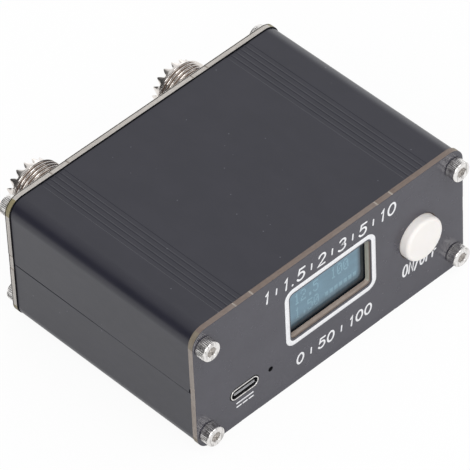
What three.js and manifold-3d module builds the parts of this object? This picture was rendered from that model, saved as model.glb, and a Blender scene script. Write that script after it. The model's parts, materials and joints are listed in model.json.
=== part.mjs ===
// Power and standing-wave meter for a short-wave transmitter: a split aluminium case between two end
// panels, with a small display, a push button and a USB-C port in front and two UHF coaxial sockets
// behind. Millimetres. X runs to the right as the front is faced, Y from front to back, Z up.
// The origin is the middle of the case's underside.

import * as THREE from 'three';
import { mergeVertices } from 'three/addons/utils/BufferGeometryUtils.js';
import Module from 'manifold-3d';

const wasm = await Module();
wasm.setup();

// End panels
const panelWidth = 88;
const panelHeight = 38.2;
const panelThickness = 1.6;
const panelCornerRadius = 4.4;

// Shells, which stand a little inside the panels at the sides and the top
const panelProud = 0.3;
const shellLength = 60.4;
const shellCornerRadius = 4.2;
const wallThickness = 1.6;

// Seam between the shells: the lower shell's outer lip covers the upper shell's tongue
const seamHeight = 18.4;
const seamGap = 0.16;
const seamLipThickness = 0.7;
const seamLipHeight = 1;
const seamSideGap = 0.1;

// Wide, shallow grooves along the top and the underside, with narrow ribs between them
const grooveCount = 5;
const groovePitch = 1.52;
const grooveWidth = 1.12;
const grooveDepth = 0.12;
const grooveBandCentre = 30.2;

// Case screws, M3 socket heads, and the channels that they cut their thread in
const screwSideInset = 3.3;
const screwEdgeInset = 4.95;
const screwRadius = 1.5;
const screwLength = 8;
const screwTipBevel = 0.4;
const screwHeadRadius = 2.75;
const screwHeadHeight = 3;
const screwHeadBevel = 0.35;
const screwHexAcrossFlats = 2.5;
const screwHexDepth = 1.6;
const screwThreadGap = 0.1;
const screwHoleGap = 0.2;
const channelWall = 0.9;

// Display window
const windowWidth = 26.1;
const windowHeight = 14.3;
const windowCornerRadius = 1.2;
const windowAcross = -0.15;
const windowRise = 2.8;

// Display: a glass plate with a front film, a foam pad behind it and a folded ribbon
const glassWidth = 26.7;
const glassHeight = 19.26;
const glassThickness = 1.25;
const glassPanelGap = 0.15;
const filmThickness = 0.2;
const filmMargin = 0.15;
const filmHeight = 15;
const pixelAreaRise = 0.3;
const pixelAreaBelowGlassTop = 7.53;
const padWidth = 22;
const padTopMargin = 1.5;
const padBottomMargin = 4.2;
const ribbonWidth = 12;
const ribbonThickness = 0.3;
const ribbonReach = 3.2;
const ribbonBottomGap = 0.2;

// Push button cap and its tactile switch
const buttonSideInset = 15.15;
const buttonRise = -0.2;
const capRadius = 6;
const capProud = 2.55;
const capBevel = 0.9;
const capInside = 0.7;
const capWall = 1.2;
const capBossRadius = 3.5;
const capRecessDepth = 2.4;
const capHoleGap = 0.2;
const capStemGap = 0.1;
const buttonTravel = 0.3;
const buttonRunGap = 0.3;
const stemWidth = 3.8;
const stemProud = 0.4;
const flangeRadius = 3.5;
const flangeThickness = 0.9;
const switchWidth = 12;
const switchDepth = 3.6;
const switchCornerRadius = 0.6;
const coverThickness = 0.4;
const coverHoleRadius = 3;
const domeRadius = 3.4;
const domeHeight = 0.55;
const domeThickness = 0.15;
const domeGap = 0.35;
const domeRunGap = 0.4;
const domeShoulderShare = 0.17;
const terminalWidth = 1;
const terminalThickness = 0.3;
const terminalRise = 2.5;
const terminalGap = 0.1;
const terminalTail = 1.4;
const terminalHoleRadius = 0.9;

// Circuit boards
const boardThickness = 1.6;
const boardGap = 0.3;
const boardSideGap = 0.3;
const railWidth = 1.8;
const railThickness = 0.9;
const railGap = 0.1;
const boardAboveChannel = 0.55;
const displayBoardMargin = 1.5;
const displayBoardTopGap = 2;
const rfBoardSideGap = 2.2;
const rfBoardTopGap = 2.4;
const rfBoardBottomGap = 2;

// Board connectors
const headerDepth = 2.5;
const headerHeight = 2.5;
const headerPinSpacing = 2.54;
const headerPins = 8;
const headerNotch = 0.5;
const displayHeaderInset = 8.8;
const rfHeaderInset = 2;

// USB-C port, sunk in a notch of the main board
const usbGapShare = 0.4588;
const usbRise = 0.6;
const usbWidth = 8.94;
const usbHeight = 3.26;
const usbLength = 7.3;
const usbWall = 0.3;
const usbProud = 0.15;
const usbSlotGap = 0.28;
const usbNotchGap = 0.6;
const usbTabLength = 1.1;
const usbTabReach = 1.2;
const usbTabThickness = 0.3;
const usbTabShares = [0.38, 0.85];
const usbTabOverlap = 0.1;
const usbInnerGap = 0.1;
const tongueWidth = 6.7;
const tongueThickness = 0.7;
const tongueRecess = 0.8;
const tongueBlockLength = 2.2;

// Charging lamp behind its pinhole
const lampGapShare = 0.1245;
const lampHoleRadius = 0.65;
const lampRise = 0.6;
const lampWidth = 2.4;
const lampDepth = 1.3;
const lampHeight = 1.2;

// Battery and its lead
const leftStripWidth = 9.5;
const rightStripWidth = 22;
const batteryHeight = 7.5;
const batteryCornerRadius = 1.8;
const batteryGap = 1;
const tapeThickness = 0.5;
const tapeMargin = 5;
const leadRadius = 0.6;
const leadSpacing = 2;
const leadEndGap = 0.3;
const leadHeightShares = [0.55, 0.75, 0.5];
const plugWidth = 5;
const plugDepth = 5;
const plugHeight = 3;
const plugSocketWall = 0.8;
const plugGap = 0.15;

// Parts on the main board
const chipCornerRadius = 0.3;
const controllerWidth = 7;
const controllerHeight = 1.4;
const chargerWidth = 4;
const chargerDepth = 5;
const chargerHeight = 1.6;
const inductorWidth = 6;
const inductorHeight = 3;
const capacitorRadius = 3.15;
const capacitorHeight = 7;
const partGap = 3;
const controllerSetback = 9;

// UHF coaxial sockets
const socketSideInset = 20.1;
const socketRise = 0.9;
const threadRadius = 7.94;
const threadDepth = 0.6;
const threadPitch = 1.058;
const threadTurns = 11;
const socketProud = 15.6;
const toothCount = 16;
const toothHeight = 2;
const crownRadius = 6.9;
const crownCollarLength = 0.77;
const socketBoreRadius = 6.3;
const socketPanelGap = 0.3;
const socketFlangeRadius = 10.5;
const socketFlangeThickness = 2;
const socketBackRadius = 7.6;
const socketBackLength = 3;
const socketLipRadius = 5.4;
const socketLipThickness = 0.8;
const nutAcrossFlats = 19;
const nutThickness = 3;
const nutBevel = 0.7;
const washerRadius = 9.6;
const washerThickness = 0.8;
const washerToothDepth = 0.6;
const washerTeeth = 18;

// Socket insulator and centre contact
const insulatorRecess = 6.6;
const insulatorGap = 0.1;
const contactRecess = 4.2;
const contactRadius = 3.1;
const contactBoreRadius = 2.05;
const contactBoreDepth = 9;
const contactShoulder = 2.4;
const contactSlitWidth = 0.5;
const contactSlitDepth = 1.8;
const contactPinRadius = 1.2;
const contactPinGap = 0.3;
const contactTail = 2;

// Directional coupler: a through wire and two wound ferrite rings
const wireRadius = 0.75;
const wireEndGap = 0.3;
const wireBend = 2.6;
const wireCornerShare = 0.33;
const coreInnerRadius = 3.55;
const coreOuterRadius = 6.35;
const coreHeight = 4.9;
const coreBevel = 0.6;
const windingWireRadius = 0.3;
const windingGap = 0.45;
const windingTurns = 9;
const windingSweepShare = 0.8;
const windingSquareShare = 0.7;
const windingLeadLength = 1.2;
const windingLeadGap = 0.1;
const coreMiddleGap = 5.5;
const coreNotchGap = 0.5;
const resistorWidth = 6.4;
const resistorHeight = 3.2;
const resistorThickness = 0.9;
const resistorInset = 4;

// Facets, the merging distance and how far a cutter reaches past what it cuts
const fullTurn = Math.PI * 2;
const quarterTurn = Math.PI / 2;
const cornerSteps = 5;
const windowSteps = 3;
const holeSteps = 16;
const screwSteps = 16;
const capSteps = 36;
const stadiumSteps = 5;
const socketSteps = toothCount * 2;
const hexSides = 6;
const coreSteps = 24;
const windingStepsPerTurn = 12;
const windingSides = 5;
const wireSides = 8;
const leadSteps = 10;
const wireSteps = 28;
const mergeDistance = 0.0001;
const overrun = 1;

// Planes and outlines that several parts share
const shellWidth = panelWidth - 2 * panelProud;
const shellHeight = panelHeight - panelProud;
const midHeight = panelHeight / 2;
const frontFace = -shellLength / 2 - panelThickness;
const frontInner = -shellLength / 2;
const rearInner = shellLength / 2;
const rearFace = shellLength / 2 + panelThickness;
const innerHalfWidth = shellWidth / 2 - wallThickness;
const ceiling = shellHeight - wallThickness;
const screwAcross = panelWidth / 2 - screwSideInset;
const screwHeights = [screwEdgeInset, panelHeight - screwEdgeInset];
const channelHoleRadius = screwRadius + screwThreadGap;
const channelRadius = channelHoleRadius + channelWall;
const railInner = innerHalfWidth - railWidth;

// Levels and depths of the boards
const mainBoardBottom = screwEdgeInset + channelRadius + boardAboveChannel;
const mainBoardTop = mainBoardBottom + boardThickness;
const mainBoardFront = frontInner + boardGap;
const mainBoardHalfWidth = innerHalfWidth - boardSideGap;
const coverFront = frontInner + capInside + buttonTravel + buttonRunGap;
const switchFront = coverFront + coverThickness;
const displayBoardFront = switchFront + switchDepth;
const displayBoardRear = displayBoardFront + boardThickness;
const displayBoardBottom = mainBoardTop + boardGap;
const displayBoardTop = ceiling - displayBoardTopGap;
const displayHeaderRear = displayBoardRear + headerDepth;
const socketRear = rearInner - socketFlangeThickness - socketBackLength;
const rfBoardFront = socketRear - boardThickness;
const rfBoardHalfWidth = screwAcross - channelRadius - rfBoardSideGap;
const rfBoardTop = ceiling - rfBoardTopGap;
const rfBoardBottom = wallThickness + rfBoardBottomGap;
const mainBoardRear = rfBoardFront - boardGap;
const windingReach = windingGap + windingWireRadius * 2;
const wireDepth = rfBoardFront - windingLeadLength - windingReach - coreOuterRadius;

// Heights and places on the front
const buttonAcross = panelWidth / 2 - buttonSideInset;
const windowHeightCentre = midHeight + windowRise;
const pixelAreaCentre = windowHeightCentre + pixelAreaRise;
const glassTop = pixelAreaCentre + pixelAreaBelowGlassTop;
const glassBottom = glassTop - glassHeight;
const buttonHeight = midHeight + buttonRise;
const usbCentre = mainBoardTop + usbRise;
const lampCentre = mainBoardTop + lampRise;
const socketCentre = midHeight + socketRise;
const capHoleRadius = capRadius + capHoleGap;
const socketHoleRadius = threadRadius + socketPanelGap;
const usbRear = frontFace - usbProud + usbLength;
const usbNotchHalf = usbWidth / 2 + usbNotchGap;
const glassNotchHalf = glassWidth / 2 + displayBoardMargin;

// Port and lamp stand between the shell's rail and the glass, with the free width shared beside them
const usbHalfSpan = usbWidth / 2 + usbTabReach;
const freeWidth = windowAcross - glassWidth / 2 + railInner - 2 * usbHalfSpan - lampWidth;
const usbAcross = -railInner + usbGapShare * freeWidth + usbHalfSpan;
const lampAcross = usbAcross + usbHalfSpan + lampGapShare * freeWidth + lampWidth / 2;

// Sockets, the rings on the wire between them, and the notch of the main board that clears the rings
const socketAcross = panelWidth / 2 - socketSideInset;
const coreAcross = coreMiddleGap + windingReach + coreHeight / 2;
const coreNotchHalf = coreAcross + coreHeight / 2 + windingReach + coreNotchGap;
const coreNotchFront = wireDepth - coreOuterRadius - windingReach - coreNotchGap;

// Battery and the strips beside it
const batteryLeft = -railInner + leftStripWidth;
const batteryRight = railInner - rightStripWidth;
const batteryFront = displayHeaderRear + batteryGap;
const batteryRear = coreNotchFront - batteryGap;
const batteryBottom = mainBoardTop + tapeThickness;
const leftStripCentre = (batteryLeft - railInner) / 2;
const rightStripCentre = (batteryRight + railInner) / 2;

// Finishes, one colour, roughness and metalness for each material
const anodised = { color: 0x3d3e42, roughness: 0.55, metalness: 0.35 };
const panelLaminate = { color: 0x45464a, roughness: 0.35, metalness: 0 };
const steel = { color: 0xc9c8c4, roughness: 0.3, metalness: 1 };
const nickel = { color: 0xcfc8bd, roughness: 0.22, metalness: 1 };
const whitePlastic = { color: 0xf0eee8, roughness: 0.45, metalness: 0 };
const blackPlastic = { color: 0x18181a, roughness: 0.5, metalness: 0 };
const displayGlass = { color: 0x5e7f8f, roughness: 0.08, metalness: 0 };
const foam = { color: 0x2a2a2c, roughness: 0.95, metalness: 0 };
const ribbonFilm = { color: 0xa8702c, roughness: 0.5, metalness: 0 };
const greenBoard = { color: 0x1f5a34, roughness: 0.45, metalness: 0 };
const lampResin = { color: 0xd9e6c8, roughness: 0.3, metalness: 0 };
const chipBody = { color: 0x202124, roughness: 0.6, metalness: 0 };
const canMetal = { color: 0xb9bcc0, roughness: 0.35, metalness: 1 };
const batteryFoil = { color: 0xaeb2b6, roughness: 0.4, metalness: 0.8 };
const redLead = { color: 0xa01c1c, roughness: 0.5, metalness: 0 };
const blackLead = { color: 0x161616, roughness: 0.5, metalness: 0 };
const fluoropolymer = { color: 0xf2f1ec, roughness: 0.4, metalness: 0 };
const gilt = { color: 0xc9a24a, roughness: 0.25, metalness: 1 };
const tinnedCopper = { color: 0xc7c3ba, roughness: 0.3, metalness: 1 };
const ferrite = { color: 0x3a3a3d, roughness: 0.8, metalness: 0 };
const enamelWire = { color: 0x9c3d1c, roughness: 0.35, metalness: 0.6 };

const meter = new THREE.Group();

// Adds one named piece with its own material
function addPart(name, geometry, finish, parent = meter) {
  const mesh = new THREE.Mesh(geometry, new THREE.MeshStandardMaterial(finish));
  mesh.name = name;
  parent.add(mesh);
  return mesh;
}

// Adds a group whose pieces are drawn about a point of their own
function addGroup(x, y, z) {
  const group = new THREE.Group();
  group.position.set(x, y, z);
  meter.add(group);
  return group;
}

// Joins shared points and drops the slivers that a turned profile leaves on its axis
function closedGeometry(geometry) {
  const bare = geometry.clone();
  bare.deleteAttribute('normal');
  bare.deleteAttribute('uv');
  const merged = mergeVertices(bare, mergeDistance);
  const corners = merged.index.array;
  const kept = [];
  for (let i = 0; i < corners.length; i += 3) {
    const [a, b, c] = corners.slice(i, i + 3);
    const isFace = a !== b && b !== c && c !== a;
    if (isFace) kept.push(a, b, c);
  }
  merged.setIndex(kept);
  return merged;
}

function toSolid(geometry) {
  const closed = closedGeometry(geometry);
  const vertProperties = new Float32Array(closed.attributes.position.array);
  const triVerts = new Uint32Array(closed.index.array);
  return new wasm.Manifold(new wasm.Mesh({ numProp: 3, vertProperties, triVerts }));
}

function toGeometry(manifold) {
  const mesh = manifold.getMesh();
  const geometry = new THREE.BufferGeometry();
  geometry.setAttribute('position', new THREE.BufferAttribute(new Float32Array(mesh.vertProperties), 3));
  geometry.setIndex(new THREE.BufferAttribute(new Uint32Array(mesh.triVerts), 1));
  return geometry;
}

function cutAway(base, cutters) {
  return cutters.reduce((rest, cutter) => rest.subtract(toSolid(cutter)), base);
}

function joinAll(geometries) {
  const [first, ...others] = geometries.map(toSolid);
  return others.reduce((sum, other) => sum.add(other), first);
}

// A block between two limits along each axis
function block([xLow, xHigh], [yLow, yHigh], [zLow, zHigh]) {
  const box = new THREE.BoxGeometry(xHigh - xLow, yHigh - yLow, zHigh - zLow);
  return box.translate((xLow + xHigh) / 2, (yLow + yHigh) / 2, (zLow + zHigh) / 2);
}

function about(centre, size) {
  return [centre - size / 2, centre + size / 2];
}

function arc(a, b, radius, fromAngle, toAngle, steps) {
  const points = [];
  for (let i = 0; i <= steps; i += 1) {
    const angle = fromAngle + ((toAngle - fromAngle) * i) / steps;
    points.push(new THREE.Vector2(a + radius * Math.cos(angle), b + radius * Math.sin(angle)));
  }
  return points;
}

function circle(a, b, radius, steps) {
  return arc(a, b, radius, 0, (fullTurn * (steps - 1)) / steps, steps - 1);
}

function roundedRectangle(a, b, width, height, radius, steps) {
  const right = a + width / 2 - radius;
  const left = a - width / 2 + radius;
  const top = b + height / 2 - radius;
  const bottom = b - height / 2 + radius;
  return [
    ...arc(right, bottom, radius, -quarterTurn, 0, steps),
    ...arc(right, top, radius, 0, quarterTurn, steps),
    ...arc(left, top, radius, quarterTurn, 2 * quarterTurn, steps),
    ...arc(left, bottom, radius, 2 * quarterTurn, 3 * quarterTurn, steps),
  ];
}

function rectangle([aLow, aHigh], [bLow, bHigh]) {
  return [
    new THREE.Vector2(aLow, bLow),
    new THREE.Vector2(aHigh, bLow),
    new THREE.Vector2(aHigh, bHigh),
    new THREE.Vector2(aLow, bHigh),
  ];
}

// Extrudes an outline upwards from a level
function extrudeUp(outline, bottom, height, holes = []) {
  const shape = new THREE.Shape(outline);
  shape.holes = holes.map((points) => new THREE.Path(points));
  const geometry = new THREE.ExtrudeGeometry(shape, { depth: height, bevelEnabled: false });
  return geometry.translate(0, 0, bottom);
}

// Extrudes an outline that is drawn in X and Z backwards from a front plane
function extrudeBack(outline, front, depth, holes = []) {
  const geometry = extrudeUp(outline, 0, depth, holes);
  return geometry.rotateX(quarterTurn).translate(0, front + depth, 0);
}

// Extrudes an outline that is drawn in Y and Z across a width
function extrudeAcross(outline, left, width) {
  const turn = new THREE.Matrix4().makeBasis(
    new THREE.Vector3(0, 1, 0),
    new THREE.Vector3(0, 0, 1),
    new THREE.Vector3(1, 0, 0),
  );
  return extrudeUp(outline, left, width).applyMatrix4(turn);
}

// Turns a profile of [radius, depth] pairs about the Y axis
function turn(profile, steps) {
  const points = profile.map(([radius, depth]) => new THREE.Vector2(radius, depth));
  return new THREE.LatheGeometry(points, steps);
}

function tubeAlong(path, radius, sides, steps) {
  const section = new THREE.Shape(circle(0, 0, radius, sides));
  return new THREE.ExtrudeGeometry(section, { steps, bevelEnabled: false, extrudePath: path });
}

// Upper and lower shells

function shellTube() {
  const innerRadius = shellCornerRadius - wallThickness;
  const middle = shellHeight / 2;
  const outer = roundedRectangle(0, middle, shellWidth, shellHeight, shellCornerRadius, cornerSteps);
  const inner = roundedRectangle(
    0,
    middle,
    innerHalfWidth * 2,
    shellHeight - 2 * wallThickness,
    innerRadius,
    cornerSteps,
  );
  return extrudeBack(outer, frontInner, shellLength, [inner]);
}

// A screw channel in each corner, joined to the floor or the ceiling by a web
function screwChannels() {
  const pieces = [];
  for (const side of [-1, 1]) {
    for (const height of screwHeights) {
      const across = side * screwAcross;
      const isLow = height < midHeight;
      const webEnd = isLow ? wallThickness / 2 : shellHeight - wallThickness / 2;
      const web = [Math.min(height, webEnd), Math.max(height, webEnd)];
      const outline = circle(across, height, channelRadius, holeSteps);
      pieces.push(extrudeBack(outline, frontInner, shellLength));
      pieces.push(block(about(across, channelRadius), [frontInner, rearInner], web));
    }
  }
  return pieces;
}

function screwHoles(front, depth, radius) {
  const holes = [];
  for (const side of [-1, 1]) {
    for (const height of screwHeights) {
      holes.push(extrudeBack(circle(side * screwAcross, height, radius, holeSteps), front, depth));
    }
  }
  return holes;
}

// Rails inside the lower shell that hold the main board's edges
function boardRails() {
  const rails = [];
  for (const side of [-1, 1]) {
    const wallMiddle = innerHalfWidth + wallThickness / 2;
    const across = side < 0 ? [-wallMiddle, -railInner] : [railInner, wallMiddle];
    for (const bottom of [mainBoardBottom - railThickness, mainBoardTop + railGap]) {
      rails.push(block(across, [frontInner, rearInner], [bottom, bottom + railThickness]));
    }
  }
  return rails;
}

function grooveCutters() {
  const cutters = [];
  for (const side of [-1, 1]) {
    for (let i = 0; i < grooveCount; i += 1) {
      const across = side * (grooveBandCentre + (i - (grooveCount - 1) / 2) * groovePitch);
      const length = [frontInner - overrun, rearInner + overrun];
      const levels = [[shellHeight - grooveDepth, shellHeight + overrun], [-overrun, grooveDepth]];
      for (const level of levels) cutters.push(block(about(across, grooveWidth), length, level));
    }
  }
  return cutters;
}

function buildShells() {
  const tube = joinAll([shellTube(), ...screwChannels(), ...boardRails()]);
  const whole = cutAway(tube, [
    ...screwHoles(frontInner - overrun, shellLength + 2 * overrun, channelHoleRadius),
    ...grooveCutters(),
  ]);
  const lowerTop = seamHeight - seamGap / 2;
  const upperBottom = seamHeight + seamGap / 2;
  const shelf = lowerTop - seamLipHeight;
  const length = [frontInner - overrun, rearInner + overrun];
  const across = [-panelWidth, panelWidth];
  const upperHalf = block(across, length, [lowerTop, shellHeight + overrun]);
  const lowerHalf = block(across, length, [-overrun, upperBottom]);
  const lipInner = shellWidth / 2 - seamLipThickness;
  const rabbet = block([-lipInner, lipInner], length, [shelf, lowerTop + overrun]);
  const tongueOuter = lipInner - seamSideGap;
  const tongues = [-1, 1].map((side) => {
    const reach = side < 0 ? [-tongueOuter, -innerHalfWidth] : [innerHalfWidth, tongueOuter];
    return block(reach, [frontInner, rearInner], [shelf, upperBottom + seamLipHeight]);
  });
  const lower = cutAway(whole, [upperHalf, rabbet]);
  const upper = cutAway(whole, [lowerHalf]).add(joinAll(tongues));
  addPart('lower_shell', toGeometry(lower), anodised);
  addPart('upper_shell', toGeometry(upper), anodised);
}

// End panels

function panelScrewHoles() {
  const holes = [];
  for (const side of [-1, 1]) {
    for (const height of screwHeights) {
      holes.push(circle(side * screwAcross, height, screwRadius + screwHoleGap, holeSteps));
    }
  }
  return holes;
}

function panelOutline() {
  return roundedRectangle(0, midHeight, panelWidth, panelHeight, panelCornerRadius, cornerSteps);
}

function usbOutline(gap, a, b) {
  const width = usbWidth + 2 * gap;
  const height = usbHeight + 2 * gap;
  return roundedRectangle(a, b, width, height, height / 2, stadiumSteps);
}

function buildPanels() {
  const window = roundedRectangle(
    windowAcross,
    windowHeightCentre,
    windowWidth,
    windowHeight,
    windowCornerRadius,
    windowSteps,
  );
  const frontHoles = [
    ...panelScrewHoles(),
    window,
    circle(buttonAcross, buttonHeight, capHoleRadius, capSteps),
    usbOutline(usbSlotGap, usbAcross, usbCentre),
    circle(lampAcross, lampCentre, lampHoleRadius, holeSteps),
  ];
  const rearHoles = [
    ...panelScrewHoles(),
    ...[-1, 1].map((side) => circle(side * socketAcross, socketCentre, socketHoleRadius, socketSteps)),
  ];
  const front = extrudeBack(panelOutline(), frontFace, panelThickness, frontHoles);
  const rear = extrudeBack(panelOutline(), rearInner, panelThickness, rearHoles);
  addPart('front_panel', closedGeometry(front), panelLaminate);
  addPart('rear_panel', closedGeometry(rear), panelLaminate);
}

// Case screws, drawn with the underside of the head at zero and the head towards the front

function screwGeometry() {
  const profile = [
    [0, -screwHeadHeight],
    [screwHeadRadius - screwHeadBevel, -screwHeadHeight],
    [screwHeadRadius, -screwHeadHeight + screwHeadBevel],
    [screwHeadRadius, 0],
    [screwRadius, 0],
    [screwRadius, screwLength - screwTipBevel],
    [screwRadius - screwTipBevel, screwLength],
    [0, screwLength],
  ];
  const hexRadius = screwHexAcrossFlats / 2 / Math.cos(Math.PI / hexSides);
  const hexLength = screwHexDepth + overrun;
  const hex = new THREE.CylinderGeometry(hexRadius, hexRadius, hexLength, hexSides);
  hex.translate(0, -screwHeadHeight + screwHexDepth - hexLength / 2, 0);
  return toGeometry(cutAway(toSolid(turn(profile, screwSteps)), [hex]));
}

function buildScrews() {
  const geometry = screwGeometry();
  const levels = ['lower', 'upper'];
  for (const side of [-1, 1]) {
    for (const [level, height] of screwHeights.entries()) {
      const where = `${levels[level]}_${side < 0 ? 'left' : 'right'}`;
      const front = addPart(`front_screw_${where}`, geometry.clone(), steel);
      front.position.set(side * screwAcross, frontFace, height);
      const rear = addPart(`rear_screw_${where}`, geometry.clone(), steel);
      rear.position.set(side * screwAcross, rearFace, height);
      rear.rotation.z = Math.PI;
    }
  }
}

// Button and switch, drawn about the button's axis from the front panel's outer face

function capGeometry() {
  const rear = panelThickness + capInside;
  const bevelCentre = -capProud + capBevel;
  const edge = arc(capRadius - capBevel, bevelCentre, capBevel, -quarterTurn, 0, cornerSteps);
  const profile = [
    [0, -capProud],
    ...edge.map((point) => [point.x, point.y]),
    [capRadius, rear],
    [capRadius - capWall, rear],
    [capRadius - capWall, rear - capRecessDepth],
    [capBossRadius, rear - capRecessDepth],
    [capBossRadius, rear],
    [0, rear],
  ];
  const pocketWidth = about(0, stemWidth + 2 * capStemGap);
  const pocket = block(pocketWidth, [-stemProud, rear + overrun], pocketWidth);
  return toGeometry(cutAway(toSolid(turn(profile, capSteps)), [pocket]));
}

function buildSwitch() {
  const group = addGroup(buttonAcross, frontFace, buttonHeight);
  const cover = coverFront - frontFace;
  const front = switchFront - frontFace;
  const rear = displayBoardFront - frontFace;
  const flangeRear = front + flangeThickness;
  const domeTop = flangeRear + domeGap;
  const floor = domeTop + domeHeight;

  addPart('button_cap', capGeometry(), whitePlastic, group);

  const stemSide = about(0, stemWidth);
  const stem = block(stemSide, [-stemProud, front + flangeThickness / 2], stemSide);
  const flange = extrudeBack(circle(0, 0, flangeRadius, holeSteps), front, flangeThickness);
  addPart('switch_plunger', toGeometry(joinAll([stem, flange])), blackPlastic, group);

  const outline = roundedRectangle(0, 0, switchWidth, switchWidth, switchCornerRadius, windowSteps);
  const hole = circle(0, 0, coverHoleRadius, holeSteps);
  const coverPlate = extrudeBack(outline, cover, coverThickness, [hole]);
  addPart('switch_cover', closedGeometry(coverPlate), steel, group);

  const cavityOutline = circle(0, 0, flangeRadius + domeRunGap, holeSteps);
  const cavity = extrudeBack(cavityOutline, front - overrun, floor - front + overrun);
  const slotDepth = terminalThickness + 2 * terminalGap;
  const slots = [-1, 1].map((side) => {
    const height = about(side * terminalRise, terminalWidth + 2 * terminalGap);
    return block([-switchWidth, switchWidth], [rear - slotDepth, rear + overrun], height);
  });
  const base = cutAway(toSolid(extrudeBack(outline, front, switchDepth)), [cavity, ...slots]);
  addPart('switch_base', toGeometry(base), blackPlastic, group);

  const shoulder = domeTop + domeHeight * domeShoulderShare;
  const domeProfile = [
    [0, domeTop],
    [domeRadius / 2, shoulder],
    [domeRadius, floor - domeThickness],
    [domeRadius, floor],
    [domeRadius / 2, shoulder + domeThickness],
    [0, domeTop + domeThickness],
  ];
  addPart('switch_dome', closedGeometry(turn(domeProfile, holeSteps)), gilt, group);

  const barFront = rear - terminalGap - terminalThickness;
  const legEnd = rear + boardThickness + terminalTail;
  const legInner = switchWidth / 2 + terminalGap;
  const legOuter = legInner + terminalThickness;
  for (const [side, name] of [[-1, 'lower'], [1, 'upper']]) {
    const height = about(side * terminalRise, terminalWidth);
    const pieces = [
      block([-legOuter, legOuter], [barFront, barFront + terminalThickness], height),
      block([-legOuter, -legInner], [barFront, legEnd], height),
      block([legInner, legOuter], [barFront, legEnd], height),
    ];
    addPart(`switch_terminal_${name}`, toGeometry(joinAll(pieces)), tinnedCopper, group);
  }
}

// Display

// The ribbon leaves the glass's back, turns under and runs up the board's front
function ribbonGeometry() {
  const glassRear = frontInner + glassPanelGap + filmThickness + glassThickness;
  const outerRadius = (displayBoardFront - glassRear) / 2;
  const innerRadius = outerRadius - ribbonThickness;
  const middle = (displayBoardFront + glassRear) / 2;
  const bend = glassBottom + ribbonBottomGap + outerRadius;
  const legTop = glassBottom + ribbonReach;
  const outline = [
    new THREE.Vector2(glassRear, legTop),
    ...arc(middle, bend, outerRadius, Math.PI, fullTurn, cornerSteps * 2),
    new THREE.Vector2(displayBoardFront, legTop),
    new THREE.Vector2(displayBoardFront - ribbonThickness, legTop),
    ...arc(middle, bend, innerRadius, fullTurn, Math.PI, cornerSteps * 2),
    new THREE.Vector2(glassRear + ribbonThickness, legTop),
  ];
  return extrudeAcross(outline, windowAcross - ribbonWidth / 2, ribbonWidth);
}

function buildDisplay() {
  const filmFront = frontInner + glassPanelGap;
  const glassFront = filmFront + filmThickness;
  const glassRear = glassFront + glassThickness;
  const filmTop = glassTop - filmMargin;
  const plate = block(about(windowAcross, glassWidth), [glassFront, glassRear], [glassBottom, glassTop]);
  const filmWidth = about(windowAcross, glassWidth - 2 * filmMargin);
  const filmDepth = [filmFront, glassFront + glassThickness / 2];
  const film = block(filmWidth, filmDepth, [filmTop - filmHeight, filmTop]);
  addPart('display_glass', toGeometry(joinAll([plate, film])), displayGlass);

  const padHeight = [glassBottom + padBottomMargin, glassTop - padTopMargin];
  const pad = block(about(windowAcross, padWidth), [glassRear, displayBoardFront], padHeight);
  addPart('display_pad', closedGeometry(pad), foam);

  addPart('display_ribbon', closedGeometry(ribbonGeometry()), ribbonFilm);
}

// Boards

function buildDisplayBoard() {
  const left = windowAcross - glassNotchHalf;
  const right = buttonAcross + switchWidth / 2 + displayBoardMargin + terminalThickness;
  const outline = rectangle([left, right], [displayBoardBottom, displayBoardTop]);
  const legAcross = switchWidth / 2 + terminalGap + terminalThickness / 2;
  const holes = [];
  for (const side of [-1, 1]) {
    for (const level of [-1, 1]) {
      const across = buttonAcross + side * legAcross;
      holes.push(circle(across, buttonHeight + level * terminalRise, terminalHoleRadius, holeSteps));
    }
  }
  const board = extrudeBack(outline, displayBoardFront, boardThickness, holes);
  addPart('display_board', closedGeometry(board), greenBoard);
}

// The main board has notches for the sunk USB-C port, the display's lower edge and the coupler's rings
function buildMainBoard() {
  const usbDepth = usbRear + boardGap;
  const notches = [
    [usbAcross - usbNotchHalf, usbAcross + usbNotchHalf, usbDepth],
    [windowAcross - glassNotchHalf, windowAcross + glassNotchHalf, displayBoardFront],
  ];
  const outline = [new THREE.Vector2(-mainBoardHalfWidth, mainBoardFront)];
  for (const [left, right, depth] of notches) {
    outline.push(new THREE.Vector2(left, mainBoardFront), new THREE.Vector2(left, depth));
    outline.push(new THREE.Vector2(right, depth), new THREE.Vector2(right, mainBoardFront));
  }
  outline.push(
    new THREE.Vector2(mainBoardHalfWidth, mainBoardFront),
    new THREE.Vector2(mainBoardHalfWidth, mainBoardRear),
    new THREE.Vector2(coreNotchHalf, mainBoardRear),
    new THREE.Vector2(coreNotchHalf, coreNotchFront),
    new THREE.Vector2(-coreNotchHalf, coreNotchFront),
    new THREE.Vector2(-coreNotchHalf, mainBoardRear),
    new THREE.Vector2(-mainBoardHalfWidth, mainBoardRear),
  );
  addPart('main_board', closedGeometry(extrudeUp(outline, mainBoardBottom, boardThickness)), greenBoard);
}

function buildRfBoard() {
  const outline = rectangle([-rfBoardHalfWidth, rfBoardHalfWidth], [rfBoardBottom, rfBoardTop]);
  const holes = [-1, 1].map((side) =>
    circle(side * socketAcross, socketCentre, contactPinRadius + contactPinGap, holeSteps));
  const board = extrudeBack(outline, rfBoardFront, boardThickness, holes);
  addPart('rf_board', closedGeometry(board), greenBoard);
}

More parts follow.
